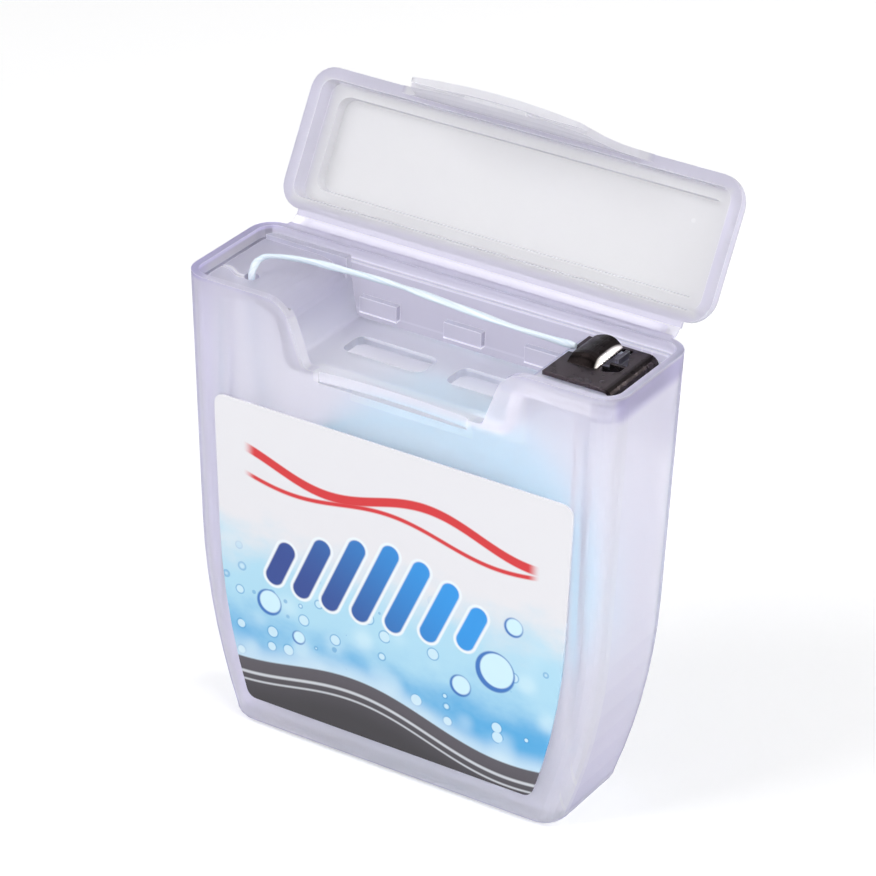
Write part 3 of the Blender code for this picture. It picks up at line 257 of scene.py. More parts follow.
# %% Helpers for zones
def axes_of(tree, place):
    """A place in metres as three sockets in millimetres."""
    scaled = put(tree, "ShaderNodeMapping", Vector=place, Scale=(1 / MM, 1 / MM, 1 / MM)).outputs[0]
    return put(tree, "ShaderNodeSeparateXYZ", Vector=scaled).outputs


def plain_measures(tree, place):
    """How far across, deep and up a place is, and the first two without their sign."""
    x, y, z = axes_of(tree, place)
    return {"across": x, "deep": y, "up": z,
            "beside": calc(tree, "ABSOLUTE", x), "before": calc(tree, "ABSOLUTE", y)}


def join(tree, operation, first, *more):
    """Joins several values by one operation."""
    for value in more:
        first = calc(tree, operation, first, value)
    return first


def limited(tree, value, *span):
    """The mask of one limit on a value."""
    if len(span) != 3:
        return fade(tree, value, *span)
    low, high, soft = span
    return calc(tree, "MULTIPLY", fade(tree, value, low - soft, low), fade(tree, value, high + soft, high))


def greatest(tree, measures, zones):
    """The greatest share that any of the zones gives a place."""
    masks = [join(tree, "MULTIPLY", *[limited(tree, measures[name], *span) for name, *span in limits], share)
             for share, *limits in zones.values()]
    return join(tree, "MAXIMUM", *masks) if masks else 0.0


# %% [markdown]
# ## Zones of the case
# Violet gathers where the wall is seen edge on: at the rim and beside the
# front's left edge. At the right end the violet band under the rim is painted
# shade. The rear wall, the inner face of the left end and the front right
# corner get painted shade in a deeper violet. Painted light, a paler colour
# with a faint glow, lies on the ribs and on a strip under the dip. A faint glow
# alone lies on the rim's step, the clips, the front wall below the strip, the
# flanks of the dip, where it is a painted reflection of the insert's flank, and
# where the insert lies against the front wall. The last two zones are painted
# shade: the left end is turned from the light, and the right end is under its
# rim.

# %% Case zones
IN_FRONT_WALL = ("deep", -6.2, -6.5)
BETWEEN_WALLS = ("before", 6.9, 6.3)
ROUND_FRONT = ("deep", -3.0, -5.0)
AT_RIBS = ("before", 4.95, 6.25, 0.15)
AT_CLIPS = ("deep", 5.4, 6.1, 0.1)
# painted light: the ribs and a strip under the dip are paler
CASE_PAINTED_PALE = {
    "ribs, inner sides": (0.25, AT_RIBS, ("beside", 19.90, 20.02, 0.06)),
    "ribs, outer sides": (0.25, AT_RIBS, ("beside", 21.02, 21.14, 0.06)),
    "strip under the dip": (0.8, IN_FRONT_WALL, ("up", 42.80, 43.70, 0.12), ("beside", 9.20, 9.00)),
}
CASE_ZONES = {
    "violet": {
        "rim": (1.0, ("up", 49.6, 50.25), ("across", -21.0, -24.2, 0.22, 0.95)),
        # painted shade: a violet band under the right end's rim
        "right end": (1.0, ("across", 24.2, 24.8), ("up", 46.9, 48.7), ("up", 50.2, 49.9, 0.15, 0.95)),
        "left edge": (1.0, ROUND_FRONT, ("inset", 2.0, 0.5, 0.0, 0.85)),
        "beside the left edge": (1.0, ROUND_FRONT, ("inset", 6.0, 2.0, 0.0, 0.12)),
        "top of the left end": (0.95, ("across", -24.4, -23.9, 0.15), ("up", 49.6, 50.0), BETWEEN_WALLS),
    },
    # painted shade: a deeper violet on the rear wall, the left end and the front right corner
    "deep_shade": {
        "rear wall": (1.0, ("deep", 4.6, 5.6), ("up", 37.0, 41.5, 0.0, 0.86),
                      ("deep", 9.0, 8.2, 0.45, 1.0), ("up", 50.25, 49.7, 0.35, 1.0)),
        "left end": (1.0, ("across", -24.4, -23.5, 0.25), BETWEEN_WALLS, ("up", 44.0, 47.0, 0.0, 0.85)),
        "front right corner": (1.0, ("across", 22.6, 24.6, 0.7), ("up", 47.9, 49.5, 0.4),
                               ("deep", -5.2, -5.8, 0.0, 0.40)),
    },
    "pale": CASE_PAINTED_PALE,
    # painted light: a faint glow on these zones, the flanks of the dip being a painted reflection
    "lit": {
        **CASE_PAINTED_PALE,
        "step of the rim": (1.1, ("up", 48.95, 49.2, 0.15), ("deep", 5.9, 6.1)),
        "clips, tops": (0.7, ("up", 45.72, 45.86, 0.06), AT_CLIPS),
        "clips, feet": (1.6, ("up", 43.98, 44.16, 0.05), AT_CLIPS),
        "below the strip": (0.35, IN_FRONT_WALL, ("up", 41.90, 42.70, 0.20), ("across", -4.5, 9.0, 0.6)),
        "flanks of the dip": (0.5, IN_FRONT_WALL, ("off flank", 0.55, 0.15), ("up", 44.0, 48.2, 0.6)),
        "wall of the insert": (0.4, IN_FRONT_WALL, ("across", 10.0, 14.5, 1.5), ("up", 43.5, 47.5, 1.2)),
    },
    # painted shade: the left end turned from the light, and the right end under its rim
    "shaded": {
        "left end": (1.0, ("across", -24.35, -23.5, 0.15), ("deep", -6.6, 6.9, 0.2),
                     ("up", 47.0, 49.8, 0.3), ("deep", -2.0, 5.0, 0.50, 0.85)),
        "right end": (0.35, ("across", 24.3, 24.8), ("up", 48.6, 49.9, 1.2)),
    },
}
print("case zones:", sum(len(zones) for zones in CASE_ZONES.values()))

# %% [markdown]
# Three of these zones follow the case's own lines. Its outline narrows evenly
# from the rim down and curves in below the belly, and the flanks of the thumb
# dip lean outwards. Both lines are formulas of the height.

# %% Case measures
RIM_HALF_WIDTH, RIM_UP = 25.0, 50.3
TAPER, BELLY_UP, BELLY_CURVE = 0.0355, 22.3, 131.0
DIP_HALF_WIDTH, DIP_UP, FLANK_SLOPE = 10.3, 43.7, 0.364


def case_measures(tree, place):
    """The plain measures, the way in from the outline's left edge, and off the dip's flanks."""
    measures = plain_measures(tree, place)
    up = measures["up"]
    below = calc(tree, "MAXIMUM", calc(tree, "SUBTRACT", BELLY_UP, up), 0.0)
    belly = calc(tree, "MULTIPLY", calc(tree, "MULTIPLY", below, below), 1 / BELLY_CURVE)
    tapered = calc(tree, "MULTIPLY_ADD", up, TAPER, RIM_HALF_WIDTH - TAPER * RIM_UP)
    measures["inset"] = calc(tree, "ADD", measures["across"], calc(tree, "SUBTRACT", tapered, belly))
    flank = calc(tree, "MULTIPLY_ADD", up, -FLANK_SLOPE, FLANK_SLOPE * DIP_UP - DIP_HALF_WIDTH)
    measures["off flank"] = calc(tree, "ABSOLUTE", calc(tree, "ADD", measures["beside"], flank))
    return measures


foot_half_width = RIM_HALF_WIDTH - TAPER * RIM_UP - BELLY_UP ** 2 / BELLY_CURVE
print("case half width at its foot, mm:", round(foot_half_width, 2))

# %% [markdown]
# ## Zones of the insert
# The left deck gets painted shade, a deeper violet. The apron along the front
# wall gets painted light, most of all at the right, and so do the rear edges
# of the two slots and a lip beside the curved slit that leads to the eyelet.
# What shows in the cutter's window, with the small lug that stands in it, gets
# painted shade from the steel.

# %% Insert zones
APRON = ("deep", -4.4, -5.2)
APRON_LEFT, APRON_RIGHT = ("across", -10.5, -9.5, 0.0, 0.20), ("across", 6.0, 10.0)
SLIT_LIP = (1.0, ("off slit", 0.40, 0.24), ("across", -19.9, -20.2), ("up", 48.3, 48.6))
INSERT_ZONES = {
    # painted shade: the left deck is a deeper violet
    "deep_shade": {"left deck": (1.0, ("across", 4.0, -4.0), ("up", 43.5, 48.0, 0.0, 0.42))},
    # painted light: the apron and the slit's lip are paler
    "pale": {
        "apron, left": (1.0, APRON, APRON_LEFT),
        "apron, right": (1.0, APRON, APRON_RIGHT),
        "lip of the slit": SLIT_LIP,
    },
    # painted light: a faint glow
    "lit": {
        "apron, left": (1.6, APRON, APRON_LEFT),
        "apron, right": (1.6, APRON, APRON_RIGHT),
        "rear edges of the slots": (1.0, ("up", 43.12, 43.33, 0.06), ("deep", 2.3, 2.5, 0.1)),
        "lip of the slit": SLIT_LIP,
    },
    # painted shade from the steel around the cutter's window
    "shaded": {"in the cutter's window": (0.92, ("across", 17.7, 20.4, 0.5), ("deep", 0.3, 4.7, 0.5))},
}
EYELET_X, EYELET_Y = -19.52, -3.05
SLIT_WAVE, SLIT_SWING, LIP_BEHIND = 4.25, 0.48, 0.08


def insert_measures(tree, place):
    """The plain measures, and how far a place on the deck is from the lip of the curved slit."""
    measures = plain_measures(tree, place)
    along = calc(tree, "SUBTRACT", EYELET_X, measures["across"])
    bend = calc(tree, "SINE", calc(tree, "MULTIPLY", along, 2 * math.pi / SLIT_WAVE))
    slit = calc(tree, "MULTIPLY_ADD", bend, -SLIT_SWING, EYELET_Y)
    lip = calc(tree, "ADD", measures["deep"], -LIP_BEHIND)
    measures["off slit"] = calc(tree, "ABSOLUTE", calc(tree, "SUBTRACT", lip, slit))
    return measures


print("insert zones:", sum(len(zones) for zones in INSERT_ZONES.values()))

# %% [markdown]
# ## Zones of the lid
# Violet gathers in the frame around the panel, and the thumb tongue gets
# painted light, a paler colour and a faint glow.
# Both are found in the axes of the shut lid, so a Mapping node turns the place
# back by the angle at which the lid stands open.

# %% Lid zones
HINGE_PLACE = Vector((0.0, 8.65, 50.3)) * MM
LID_OPEN = math.radians(119.6)
LID_MIDDLE = -8.35
LID_HALF_WIDTH, LID_HALF_DEPTH = 24.97, 7.8
TONGUE_UP = (0.3, -0.1)
LID_ZONES = {
    "violet": {"frame": (1.0, ("past", -1.9, -0.9, 0.0, 0.34), ("up", *TONGUE_UP, 1.0, 0.0))},
    # painted light: the tongue is paler and glows faintly
    "pale": {"tongue": (0.55, ("up", *TONGUE_UP))},
    "lit": {"tongue": (0.08, ("up", *TONGUE_UP))},
    "softened": {"inside the frame": (1.0, ("past", -1.2, -1.8))},
}


def lid_measures(tree, place):
    """In the axes of the shut lid: how far up a place is, and how far past the lid's outline."""
    shut = Matrix.Rotation(LID_OPEN, 3, "X")
    turned = put(tree, "ShaderNodeMapping", Vector=place, Location=-(shut @ HINGE_PLACE),
                 Rotation=(LID_OPEN, 0.0, 0.0)).outputs[0]
    x, y, z = axes_of(tree, turned)
    off_middle = calc(tree, "ABSOLUTE", calc(tree, "SUBTRACT", y, LID_MIDDLE))
    past_side = calc(tree, "SUBTRACT", calc(tree, "ABSOLUTE", x), LID_HALF_WIDTH)
    past_front = calc(tree, "SUBTRACT", off_middle, LID_HALF_DEPTH)
    return {"up": z, "past": calc(tree, "MAXIMUM", past_side, past_front)}


print("lid opens, degrees:", round(math.degrees(LID_OPEN), 1))

# %% [markdown]
# ## Frosted plastic
# Natural polypropylene is milky: part of the light goes through and is
# spread, and part comes back from just under the surface. Transmission with a
# fair roughness does the first, and the base colour under it does the second.
# The tint is a cool violet, which gathers where a wall is seen edge on. Over
# the plain tint lie painted shade in a deeper violet, painted light in a pale
# colour, violet, paler sharp edges, which are painted light too, and painted
# shade, in this order, each by its own mask. Painted light also glows as a
# faint emission.

# %% Tints
EDGE_VIOLET = colour(0.58, 0.53, 0.84)
# painted shade: a deeper violet, the shade under the cutter's steel, and an end turned from the light
DEEP_SHADE_VIOLET = colour(0.54, 0.52, 0.66)
SHADE_UNDER_STEEL = colour(0.04, 0.033, 0.055)
END_SHADE = colour(0.26, 0.245, 0.32)
# painted light: the pale colour of lit zones and sharp edges
PALE_EDGE = colour(0.97, 0.965, 1.0)
UNLIT = colour(0.0, 0.0, 0.0)
EDGE_ON_FROM, EDGE_ON_TO = 0.50, 0.97
SHARP_SHARE, BRIGHT_SHARE, GLOW = 0.7, 0.6, 0.28


def tinted(tree, plain, share, sharp, edge_on, shade):
    """Lays painted shade, painted light and violet over a plain tint."""
    slant = put(tree, "ShaderNodeLayerWeight", Blend=0.5).outputs["Facing"]
    turned_away = fade(tree, slant, EDGE_ON_FROM, EDGE_ON_TO, 0.0, edge_on)
    for mask, tint in ((share["deep_shade"], DEEP_SHADE_VIOLET),
                       (share["pale"], PALE_EDGE),
                       (calc(tree, "MAXIMUM", turned_away, share["violet"]), EDGE_VIOLET),
                       (calc(tree, "MULTIPLY", sharp, SHARP_SHARE), PALE_EDGE),
                       (share["shaded"], shade)):
        plain = blend_colour(tree, mask, plain, tint)
    return plain


# %% Frosted plastic
def frosted_plastic(name, milky, cloudy, transmission, rough, edge_on,
                    measures_of=None, zones=None, shade=END_SHADE):
    """A frosted finish, with the zones of its piece where it has any."""
    material, tree, shader = new_finish(name)
    place = object_place(tree)
    frost = use(tree, frosting, Place=place, Rough_Low=rough[0], Rough_High=rough[1])
    measures = measures_of(tree, place) if zones else {}
    share = {kind: greatest(tree, measures, (zones or {}).get(kind, {}))
             for kind in ("violet", "deep_shade", "pale", "lit", "softened", "shaded")}
    kept_sharp = calc(tree, "SUBTRACT", 1.0, share["softened"])
    sharp = calc(tree, "MULTIPLY", use(tree, sharp_edges)["Share"], kept_sharp)
    plain = blend_colour(tree, frost["Cloud"], milky, cloudy)
    tree.links.new(tinted(tree, plain, share, sharp, edge_on, shade), shader.inputs["Base Color"])
    # painted light: lit zones and sharp edges glow faintly
    bright = calc(tree, "MULTIPLY", calc(tree, "MAXIMUM", sharp, share["lit"]), BRIGHT_SHARE)
    tree.links.new(blend_colour(tree, bright, UNLIT, PALE_EDGE), shader.inputs["Emission Color"])
    shader.inputs["Emission Strength"].default_value = GLOW
    tree.links.new(frost["Roughness"], shader.inputs["Roughness"])
    bump = put(tree, "ShaderNodeBump", Strength=0.10, Distance=0.05 * MM, Height=frost["Height"])
    tree.links.new(bump.outputs[0], shader.inputs["Normal"])
    shader.inputs["Transmission Weight"].default_value = transmission
    shader.inputs["IOR"].default_value = 1.36
    shader.inputs["Specular IOR Level"].default_value = 0.45
    print(name, "nodes:", len(tree.nodes))
    return material


# %% Four frosted finishes
CASE_PLASTIC = frosted_plastic(
    "frosted_case", colour(0.90, 0.885, 0.96), colour(0.94, 0.93, 0.98), transmission=0.84,
    rough=(0.36, 0.46), edge_on=0.95, measures_of=case_measures, zones=CASE_ZONES)
LID_PLASTIC = frosted_plastic(
    "frosted_lid", colour(0.76, 0.755, 0.785), colour(0.80, 0.80, 0.815), transmission=0.66,
    rough=(0.36, 0.46), edge_on=0.2, measures_of=lid_measures, zones=LID_ZONES)
INSERT_PLASTIC = frosted_plastic(
    "frosted_insert", colour(0.88, 0.88, 0.95), colour(0.93, 0.93, 0.97), transmission=0.76,
    rough=(0.28, 0.40), edge_on=0.8, measures_of=insert_measures, zones=INSERT_ZONES, shade=SHADE_UNDER_STEEL)
BOBBIN_PLASTIC = frosted_plastic(
    "bobbin_white", colour(0.84, 0.86, 0.90), colour(0.88, 0.90, 0.93), transmission=0.30,
    rough=(0.40, 0.50), edge_on=0.0)

# %% [markdown]
# The pins that push the lid out of its mould leave two small round marks, one
# darker and one paler than the panel. Each is a distance from a point.

# %% Pin marks
PIN_MARKS = (
    (Vector((7.87, 15.38, 64.16)) * MM, 0.26 * MM, colour(0.62, 0.60, 0.68)),
    (Vector((18.93, 17.32, 58.06)) * MM, 0.30 * MM, colour(0.86, 0.86, 0.88)),
)
MARK_CORE, MARK_SHARE = 0.6, 0.8
tree = LID_PLASTIC.node_tree
lid_colour = tree.nodes["Principled BSDF"].inputs["Base Color"]
place = object_place(tree)
for centre, radius, mark in PIN_MARKS:
    away = put(tree, "ShaderNodeVectorMath", {"operation": "DISTANCE"},
               i0=place, i1=tuple(centre)).outputs["Value"]
    spot = fade(tree, away, radius, MARK_CORE * radius, 0.0, MARK_SHARE)
    tree.links.new(blend_colour(tree, spot, lid_colour.links[0].from_socket, mark), lid_colour)
print("pin marks:", len(PIN_MARKS))


# %% Finishes on the plastic pieces
def refinish(node, material):
    """Puts a material in every slot of a CAD node."""
    slots = NODES[node].material_slots
    for slot in slots:
        slot.material = material
    print(node, "slots:", len(slots), "finish:", material.name)


refinish("case_shell", CASE_PLASTIC)
refinish("lid", LID_PLASTIC)
refinish("insert", INSERT_PLASTIC)
refinish("bobbin_core", BOBBIN_PLASTIC)

# %% [markdown]
# ## Dark steel
# The cutter is stamped from thin strip that has been blackened. The rolling
# leaves fine lines along Y, which show a little paler.
# The hood's right slope carries a painted highlight, a bright lens shape along
# its free edge, widest at its middle. Painted shade darkens the plate at the
# hood's foot, the bent flap, the raised hood, its ramp and the inside of the
# window. The Bevel node rounds sharp edges for the light without changing the
# mesh.

# %% Black of the cutter
CUTTER_STEEL, tree, shader = new_finish("cutter_steel")
place = object_place(tree)
measures = plain_measures(tree, place)
rolled = put(tree, "ShaderNodeMapping", Vector=place, Scale=(9000.0, 700.0, 9000.0)).outputs[0]
lines = noise(tree, rolled, 1.0, 3.0)
smudge = noise(tree, place, 900.0, 3.0)
black = blend_colour(tree, smudge, colour(0.042, 0.033, 0.037), colour(0.095, 0.076, 0.083))

# painted shade: darker black at the hood's foot, on the bent flap and raised hood, on its ramp and inside
# the window
SHADE_BLACK = colour(0.016, 0.012, 0.012)
RAISED = ("up", 49.105, 49.14)
STEEL_SHADES = (
    (SHADE_BLACK, {"foot of the hood": (0.75, ("across", 16.2, 18.2, 1.0), ("deep", -0.2, 0.4, 0.9))}),
    (SHADE_BLACK, {"flap": (1.0, ("across", 21.1, 21.7)), "hood": (1.0, RAISED)}),
    (colour(0.004, 0.003, 0.003), {"ramp of the hood": (1.0, ("deep", 0.35, 0.05), RAISED)}),
    (colour(0.010, 0.008, 0.009), {"inside the window": (1.0, ("across", 17.0, 21.0, 0.1),
                                                         ("deep", -0.1, 5.2, 0.1), ("up", 49.09, 49.02))}),
)
for shade, zones in STEEL_SHADES:
    black = blend_colour(tree, greatest(tree, measures, zones), black, shade)
black = blend_colour(tree, fade(tree, lines, 0.66, 0.90), black, colour(0.10, 0.085, 0.09))
print("steel shades:", len(STEEL_SHADES))

# %% Painted highlight on the blade
# a painted highlight: a bright lens shape on the hood's right slope by its free edge
HIGHLIGHT_MIDDLE, HIGHLIGHT_HALF, HIGHLIGHT_WIDTH, BLADE_X = 2.1, 2.7, 0.32, 18.62
HIGHLIGHT_POINT = 3.0
along_highlight = calc(tree, "DIVIDE", calc(tree, "SUBTRACT", measures["deep"], HIGHLIGHT_MIDDLE), HIGHLIGHT_HALF)
narrowing = calc(tree, "POWER", calc(tree, "ABSOLUTE", along_highlight), HIGHLIGHT_POINT)
inner_edge = calc(tree, "MULTIPLY_ADD", narrowing, HIGHLIGHT_WIDTH, BLADE_X - HIGHLIGHT_WIDTH)
measures["past highlight"] = calc(tree, "SUBTRACT", measures["across"], inner_edge)
BLADE_HIGHLIGHT = {"highlight": (1.0, ("past highlight", -0.20, 0.10), ("across", 18.70, 18.60), ("up", 49.12, 49.18))}
with_highlight = blend_colour(tree, greatest(tree, measures, BLADE_HIGHLIGHT), black, colour(0.93, 0.88, 0.83))
tree.links.new(with_highlight, shader.inputs["Base Color"])
tree.links.new(fade(tree, smudge, 0.3, 0.7, 0.24, 0.38), shader.inputs["Roughness"])
rounded = put(tree, "ShaderNodeBevel", {"samples": 6}, Radius=0.08 * MM).outputs[0]
scored = put(tree, "ShaderNodeBump", Strength=0.15, Distance=0.02 * MM, Height=lines, Normal=rounded)
tree.links.new(scored.outputs[0], shader.inputs["Normal"])
shader.inputs["Metallic"].default_value = 1.0
refinish("cutter", CUTTER_STEEL)

# %% [markdown]
# ## Waxed floss
# Floss is hundreds of filaments laid side by side and stuck with wax. Fine
# lines along its length, drawn from the piece's own UV map, read as the
# filaments. A little twist lays them aslant. The wax gives a soft gloss.


# %% Floss finish
def floss_finish(name, across_lines, twists, pale, deep):
    material, tree, shader = new_finish(name)
    uv = put(tree, "ShaderNodeTexCoord").outputs["UV"]
    u, v = put(tree, "ShaderNodeSeparateXYZ", Vector=uv).outputs[:2]
    twisted = put(tree, "ShaderNodeCombineXYZ", X=u, Y=calc(tree, "MULTIPLY_ADD", u, twists, v)).outputs[0]
    along = put(tree, "ShaderNodeMapping", Vector=twisted, Scale=(6.0, across_lines, 1.0)).outputs[0]
    filaments = noise(tree, along, 1.0, 3.0, 0.6)
    tint = blend_colour(tree, fade(tree, filaments, 0.3, 0.7), deep, pale)
    tree.links.new(tint, shader.inputs["Base Color"])
    tree.links.new(fade(tree, filaments, 0.2, 0.8, 0.62, 0.42), shader.inputs["Roughness"])
    bump = put(tree, "ShaderNodeBump", Strength=0.35, Distance=0.05 * MM, Height=filaments)
    tree.links.new(bump.outputs[0], shader.inputs["Normal"])
    shader.inputs["Sheen Weight"].default_value = 0.25
    return material


STRAND_FLOSS = floss_finish("strand_floss", 9.0, 7.0, colour(0.82, 0.88, 0.94), colour(0.64, 0.75, 0.86))
WOUND_FLOSS = floss_finish("wound_floss", 14.0, 0.0, colour(0.70, 0.96, 1.0), colour(0.44, 0.84, 0.96))

# a faint emission paints the glow of light that wanders through the waxed layers
shader = WOUND_FLOSS.node_tree.nodes["Principled BSDF"]
shader.inputs["Emission Color"].default_value = colour(0.74, 0.92, 1.0)
shader.inputs["Emission Strength"].default_value = 0.14
print("floss finishes:", STRAND_FLOSS.name, WOUND_FLOSS.name)

# %% [markdown]
# ## The strand
# The free strand comes off the bobbin, rises through the eyelet, lies across
# the well and slips under the cutter's hood. Its route is the CAD route. It is
# a flat ribbon, so it is swept with an oval section that turns a little as it
# goes, which is what a hand-pulled strand does.

# %% Strand route
SPOOL_CENTRE = Vector((1.0, 0.0, 22.9)) * MM
STRAND_RADIUS = 17.95 * MM
LIE_FROM = math.radians(226.0)
LIE_TO = math.radians(187.0)
LIE_STEPS = 6
ROUTE_MM = (
    (-17.35, -1.2, 24.8), (-17.90, -1.6, 30.3), (-18.45, -2.1, 36.3), (-19.05, -2.6, 42.3),
    (-19.40, -3.0, 46.8), (-19.50, -3.05, 49.1), (-19.50, -2.8, 50.1), (-19.35, -2.0, 50.85),
    (-18.60, -1.0, 51.1), (-15.90, 0.2, 51.0), (-12.25, 1.0, 50.8), (-6.40, 1.7, 50.5),
    (-2.80, 1.85, 50.3), (3.40, 1.9, 49.9), (8.60, 2.0, 49.6), (13.20, 2.1, 49.5),
    (14.90, 2.15, 49.5),
)


def smooth_route(points, parts=10):
    """A smooth line through the points, by the same rule as the CAD route."""
    line = []
    for index in range(len(points) - 1):
        a = points[max(0, index - 1)]
        b, c = points[index], points[index + 1]
        d = points[min(len(points) - 1, index + 2)]
        for part in range(parts):
            t = part / parts
            line.append((2 * b + (c - a) * t + (2 * a - 5 * b + 4 * c - d) * t ** 2
                         + (3 * b - a - 3 * c + d) * t ** 3) / 2)
    return line + [points[-1]]


lie = []
lie_y = ROUTE_MM[0][1] * MM
for step in range(LIE_STEPS + 1):
    angle = LIE_FROM + (LIE_TO - LIE_FROM) * step / LIE_STEPS
    off_axis = Vector((STRAND_RADIUS * math.cos(angle), lie_y, STRAND_RADIUS * math.sin(angle)))
    lie.append(SPOOL_CENTRE + off_axis)
strand_line = smooth_route(lie + [Vector(point) * MM for point in ROUTE_MM])

# %% [markdown]
# A curve that takes another curve as its section sweeps it without any hand
# work, and tilt turns the section point by point. The swept curve is then made
# a mesh, so that it carries its own UV map.


# %% Sweep
def oval_section(name, half_wide, half_thick):
    curve = bpy.data.curves.new(name, "CURVE")
    curve.resolution_u = 3
    spline = curve.splines.new("BEZIER")
    spline.bezier_points.add(3)
    for point, (x, y) in zip(spline.bezier_points,
                             ((half_wide, 0), (0, half_thick), (-half_wide, 0), (0, -half_thick))):
        point.co = (x, y, 0.0)
        point.handle_left_type = point.handle_right_type = "AUTO"
    spline.use_cyclic_u = True
    section = bpy.data.objects.new(name, curve)
    bpy.context.scene.collection.objects.link(section)
    return section


def swept_mesh(name, line, half_wide, half_thick, turn, swell):
    """An oval swept along a line; turn and swell say its tilt and size at a share of the way."""
    section = oval_section(name + "_section", half_wide, half_thick)
    curve = bpy.data.curves.new(name, "CURVE")
    curve.dimensions = "3D"
    curve.twist_mode = "MINIMUM"
    curve.bevel_mode = "OBJECT"
    curve.bevel_object = section
    curve.use_fill_caps = True
    spline = curve.splines.new("POLY")
    spline.points.add(len(line) - 1)
    for index, (point, place) in enumerate(zip(spline.points, line)):
        share = index / (len(line) - 1)
        point.co = (*place, 1.0)
        point.tilt = turn(share)
        point.radius = swell(share)
    drawn = bpy.data.objects.new(name + "_curve", curve)
    bpy.context.scene.collection.objects.link(drawn)
    bpy.context.view_layer.update()
    mesh = bpy.data.meshes.new_from_object(drawn.evaluated_get(bpy.context.evaluated_depsgraph_get()))
    bpy.data.objects.remove(drawn, do_unlink=True)
    bpy.data.objects.remove(section, do_unlink=True)
    mesh.name = name
    return mesh


# %% Strand
STRAND_HALF_WIDE, STRAND_HALF_THICK = 0.38 * MM, 0.27 * MM
strand_mesh = swept_mesh(
    "strand", strand_line, STRAND_HALF_WIDE, STRAND_HALF_THICK,
    turn=lambda share: math.sin(share * 9.0) + 0.9 * math.sin(share * 31.0),
    swell=lambda share: 1.0 + 0.08 * math.sin(share * 47.0) + 0.07 * math.sin(share * 131.0))
strand = show("strand", strand_mesh, STRAND_FLOSS, "case")
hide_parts("floss_strand")

# %% [markdown]
# ## The wound floss
# Only a soft blue shows through the wall, but the spool turns, and the open
# mouth gives a glimpse of it. The outer layer is one thread laid as a helix,
# the way a winding machine lays it. Under it is a turned core that carries the
# colour, with a groove between the threads of its own surface.

# %% Winding sizes
BOBBIN_REAR, BOBBIN_FRONT = (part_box("floss_pack")[1][1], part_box("floss_pack")[0][1])
PACK_RADIUS = (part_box("floss_pack")[1][0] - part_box("floss_pack")[0][0]) / 2
WINDING_RADIUS = (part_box("floss_winding")[1][0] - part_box("floss_winding")[0][0]) / 2
print("pack, mm:", round((BOBBIN_REAR - BOBBIN_FRONT) / MM, 2), round(PACK_RADIUS / MM, 2))


# %% Winding
def winding_line(radius, turns, points_a_turn, start_y, end_y):
    """A helix about the spool's axis."""
    count = turns * points_a_turn
    line = []
    for step in range(count + 1):
        angle = 2 * math.pi * step / points_a_turn
        y = start_y + (end_y - start_y) * step / count
        line.append(SPOOL_CENTRE + Vector((radius * math.cos(angle), y, radius * math.sin(angle))))
    return line


THREAD, THREAD_THICK, TURNS, POINTS_A_TURN = 0.34 * MM, 0.20 * MM, 11, 48
outer_line = winding_line(WINDING_RADIUS - THREAD, TURNS, POINTS_A_TURN,
                          BOBBIN_FRONT + THREAD, BOBBIN_REAR - THREAD)
outer_mesh = swept_mesh("winding", outer_line, THREAD, THREAD_THICK,
                        turn=lambda share: math.pi / 2, swell=lambda share: 1.0)
winding = show("winding", outer_mesh, WOUND_FLOSS, "spool")
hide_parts("floss_winding")


# %% Core of the floss
def ring_mesh(name, inner, outer, front, rear, grooves, depth, facets=96):
    """A ring spun from a profile whose outer side is grooved like laid threads."""
    bm = bmesh.new()
    steps = grooves * 4
    outline = [(inner, front)]
    for step in range(steps + 1):
        share = step / steps
        crest = 0.5 - 0.5 * math.cos(2 * math.pi * grooves * share)
        outline.append((outer - depth * (1.0 - crest), front + (rear - front) * share))
    outline.append((inner, rear))
    verts = [bm.verts.new((radius, y, 0.0)) for radius, y in outline]
    edges = [bm.edges.new(pair) for pair in zip(verts, verts[1:])]
    edges.append(bm.edges.new((verts[-1], verts[0])))
    bmesh.ops.spin(bm, geom=verts + edges, axis=(0.0, 1.0, 0.0), cent=(0.0, 0.0, 0.0),
                   angle=2 * math.pi, steps=facets, use_merge=True)
    bmesh.ops.remove_doubles(bm, verts=bm.verts, dist=0.000001)
    bmesh.ops.recalc_face_normals(bm, faces=bm.faces)
    bmesh.ops.translate(bm, vec=SPOOL_CENTRE, verts=bm.verts)
    return mesh_of(bm, name)


PACK_INNER, GROOVES, GROOVE_DEPTH = 6.5 * MM, 12, 0.12 * MM
pack_mesh = ring_mesh("pack", PACK_INNER, PACK_RADIUS, BOBBIN_FRONT, BOBBIN_REAR, GROOVES, GROOVE_DEPTH)
pack = show("pack", pack_mesh, WOUND_FLOSS, "spool")
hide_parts("floss_pack")

# %% [markdown]
# ## The hinge's film
# The case and lid are one moulding, and between them the wall thins to a film
# that bends. The CAD has a line there, because a solid can't bend. Here it is
# a thin strip in an arc from the case's flange to the open lid's.

# %% Hinge film
FILM_HALF_LENGTH = 22.4 * MM
FILM_REACH = 0.62 * MM
FILM_THICKNESS = 0.22 * MM
FLANGE_MIDDLE = 0.26 * MM
FILM_EASE = 0.9


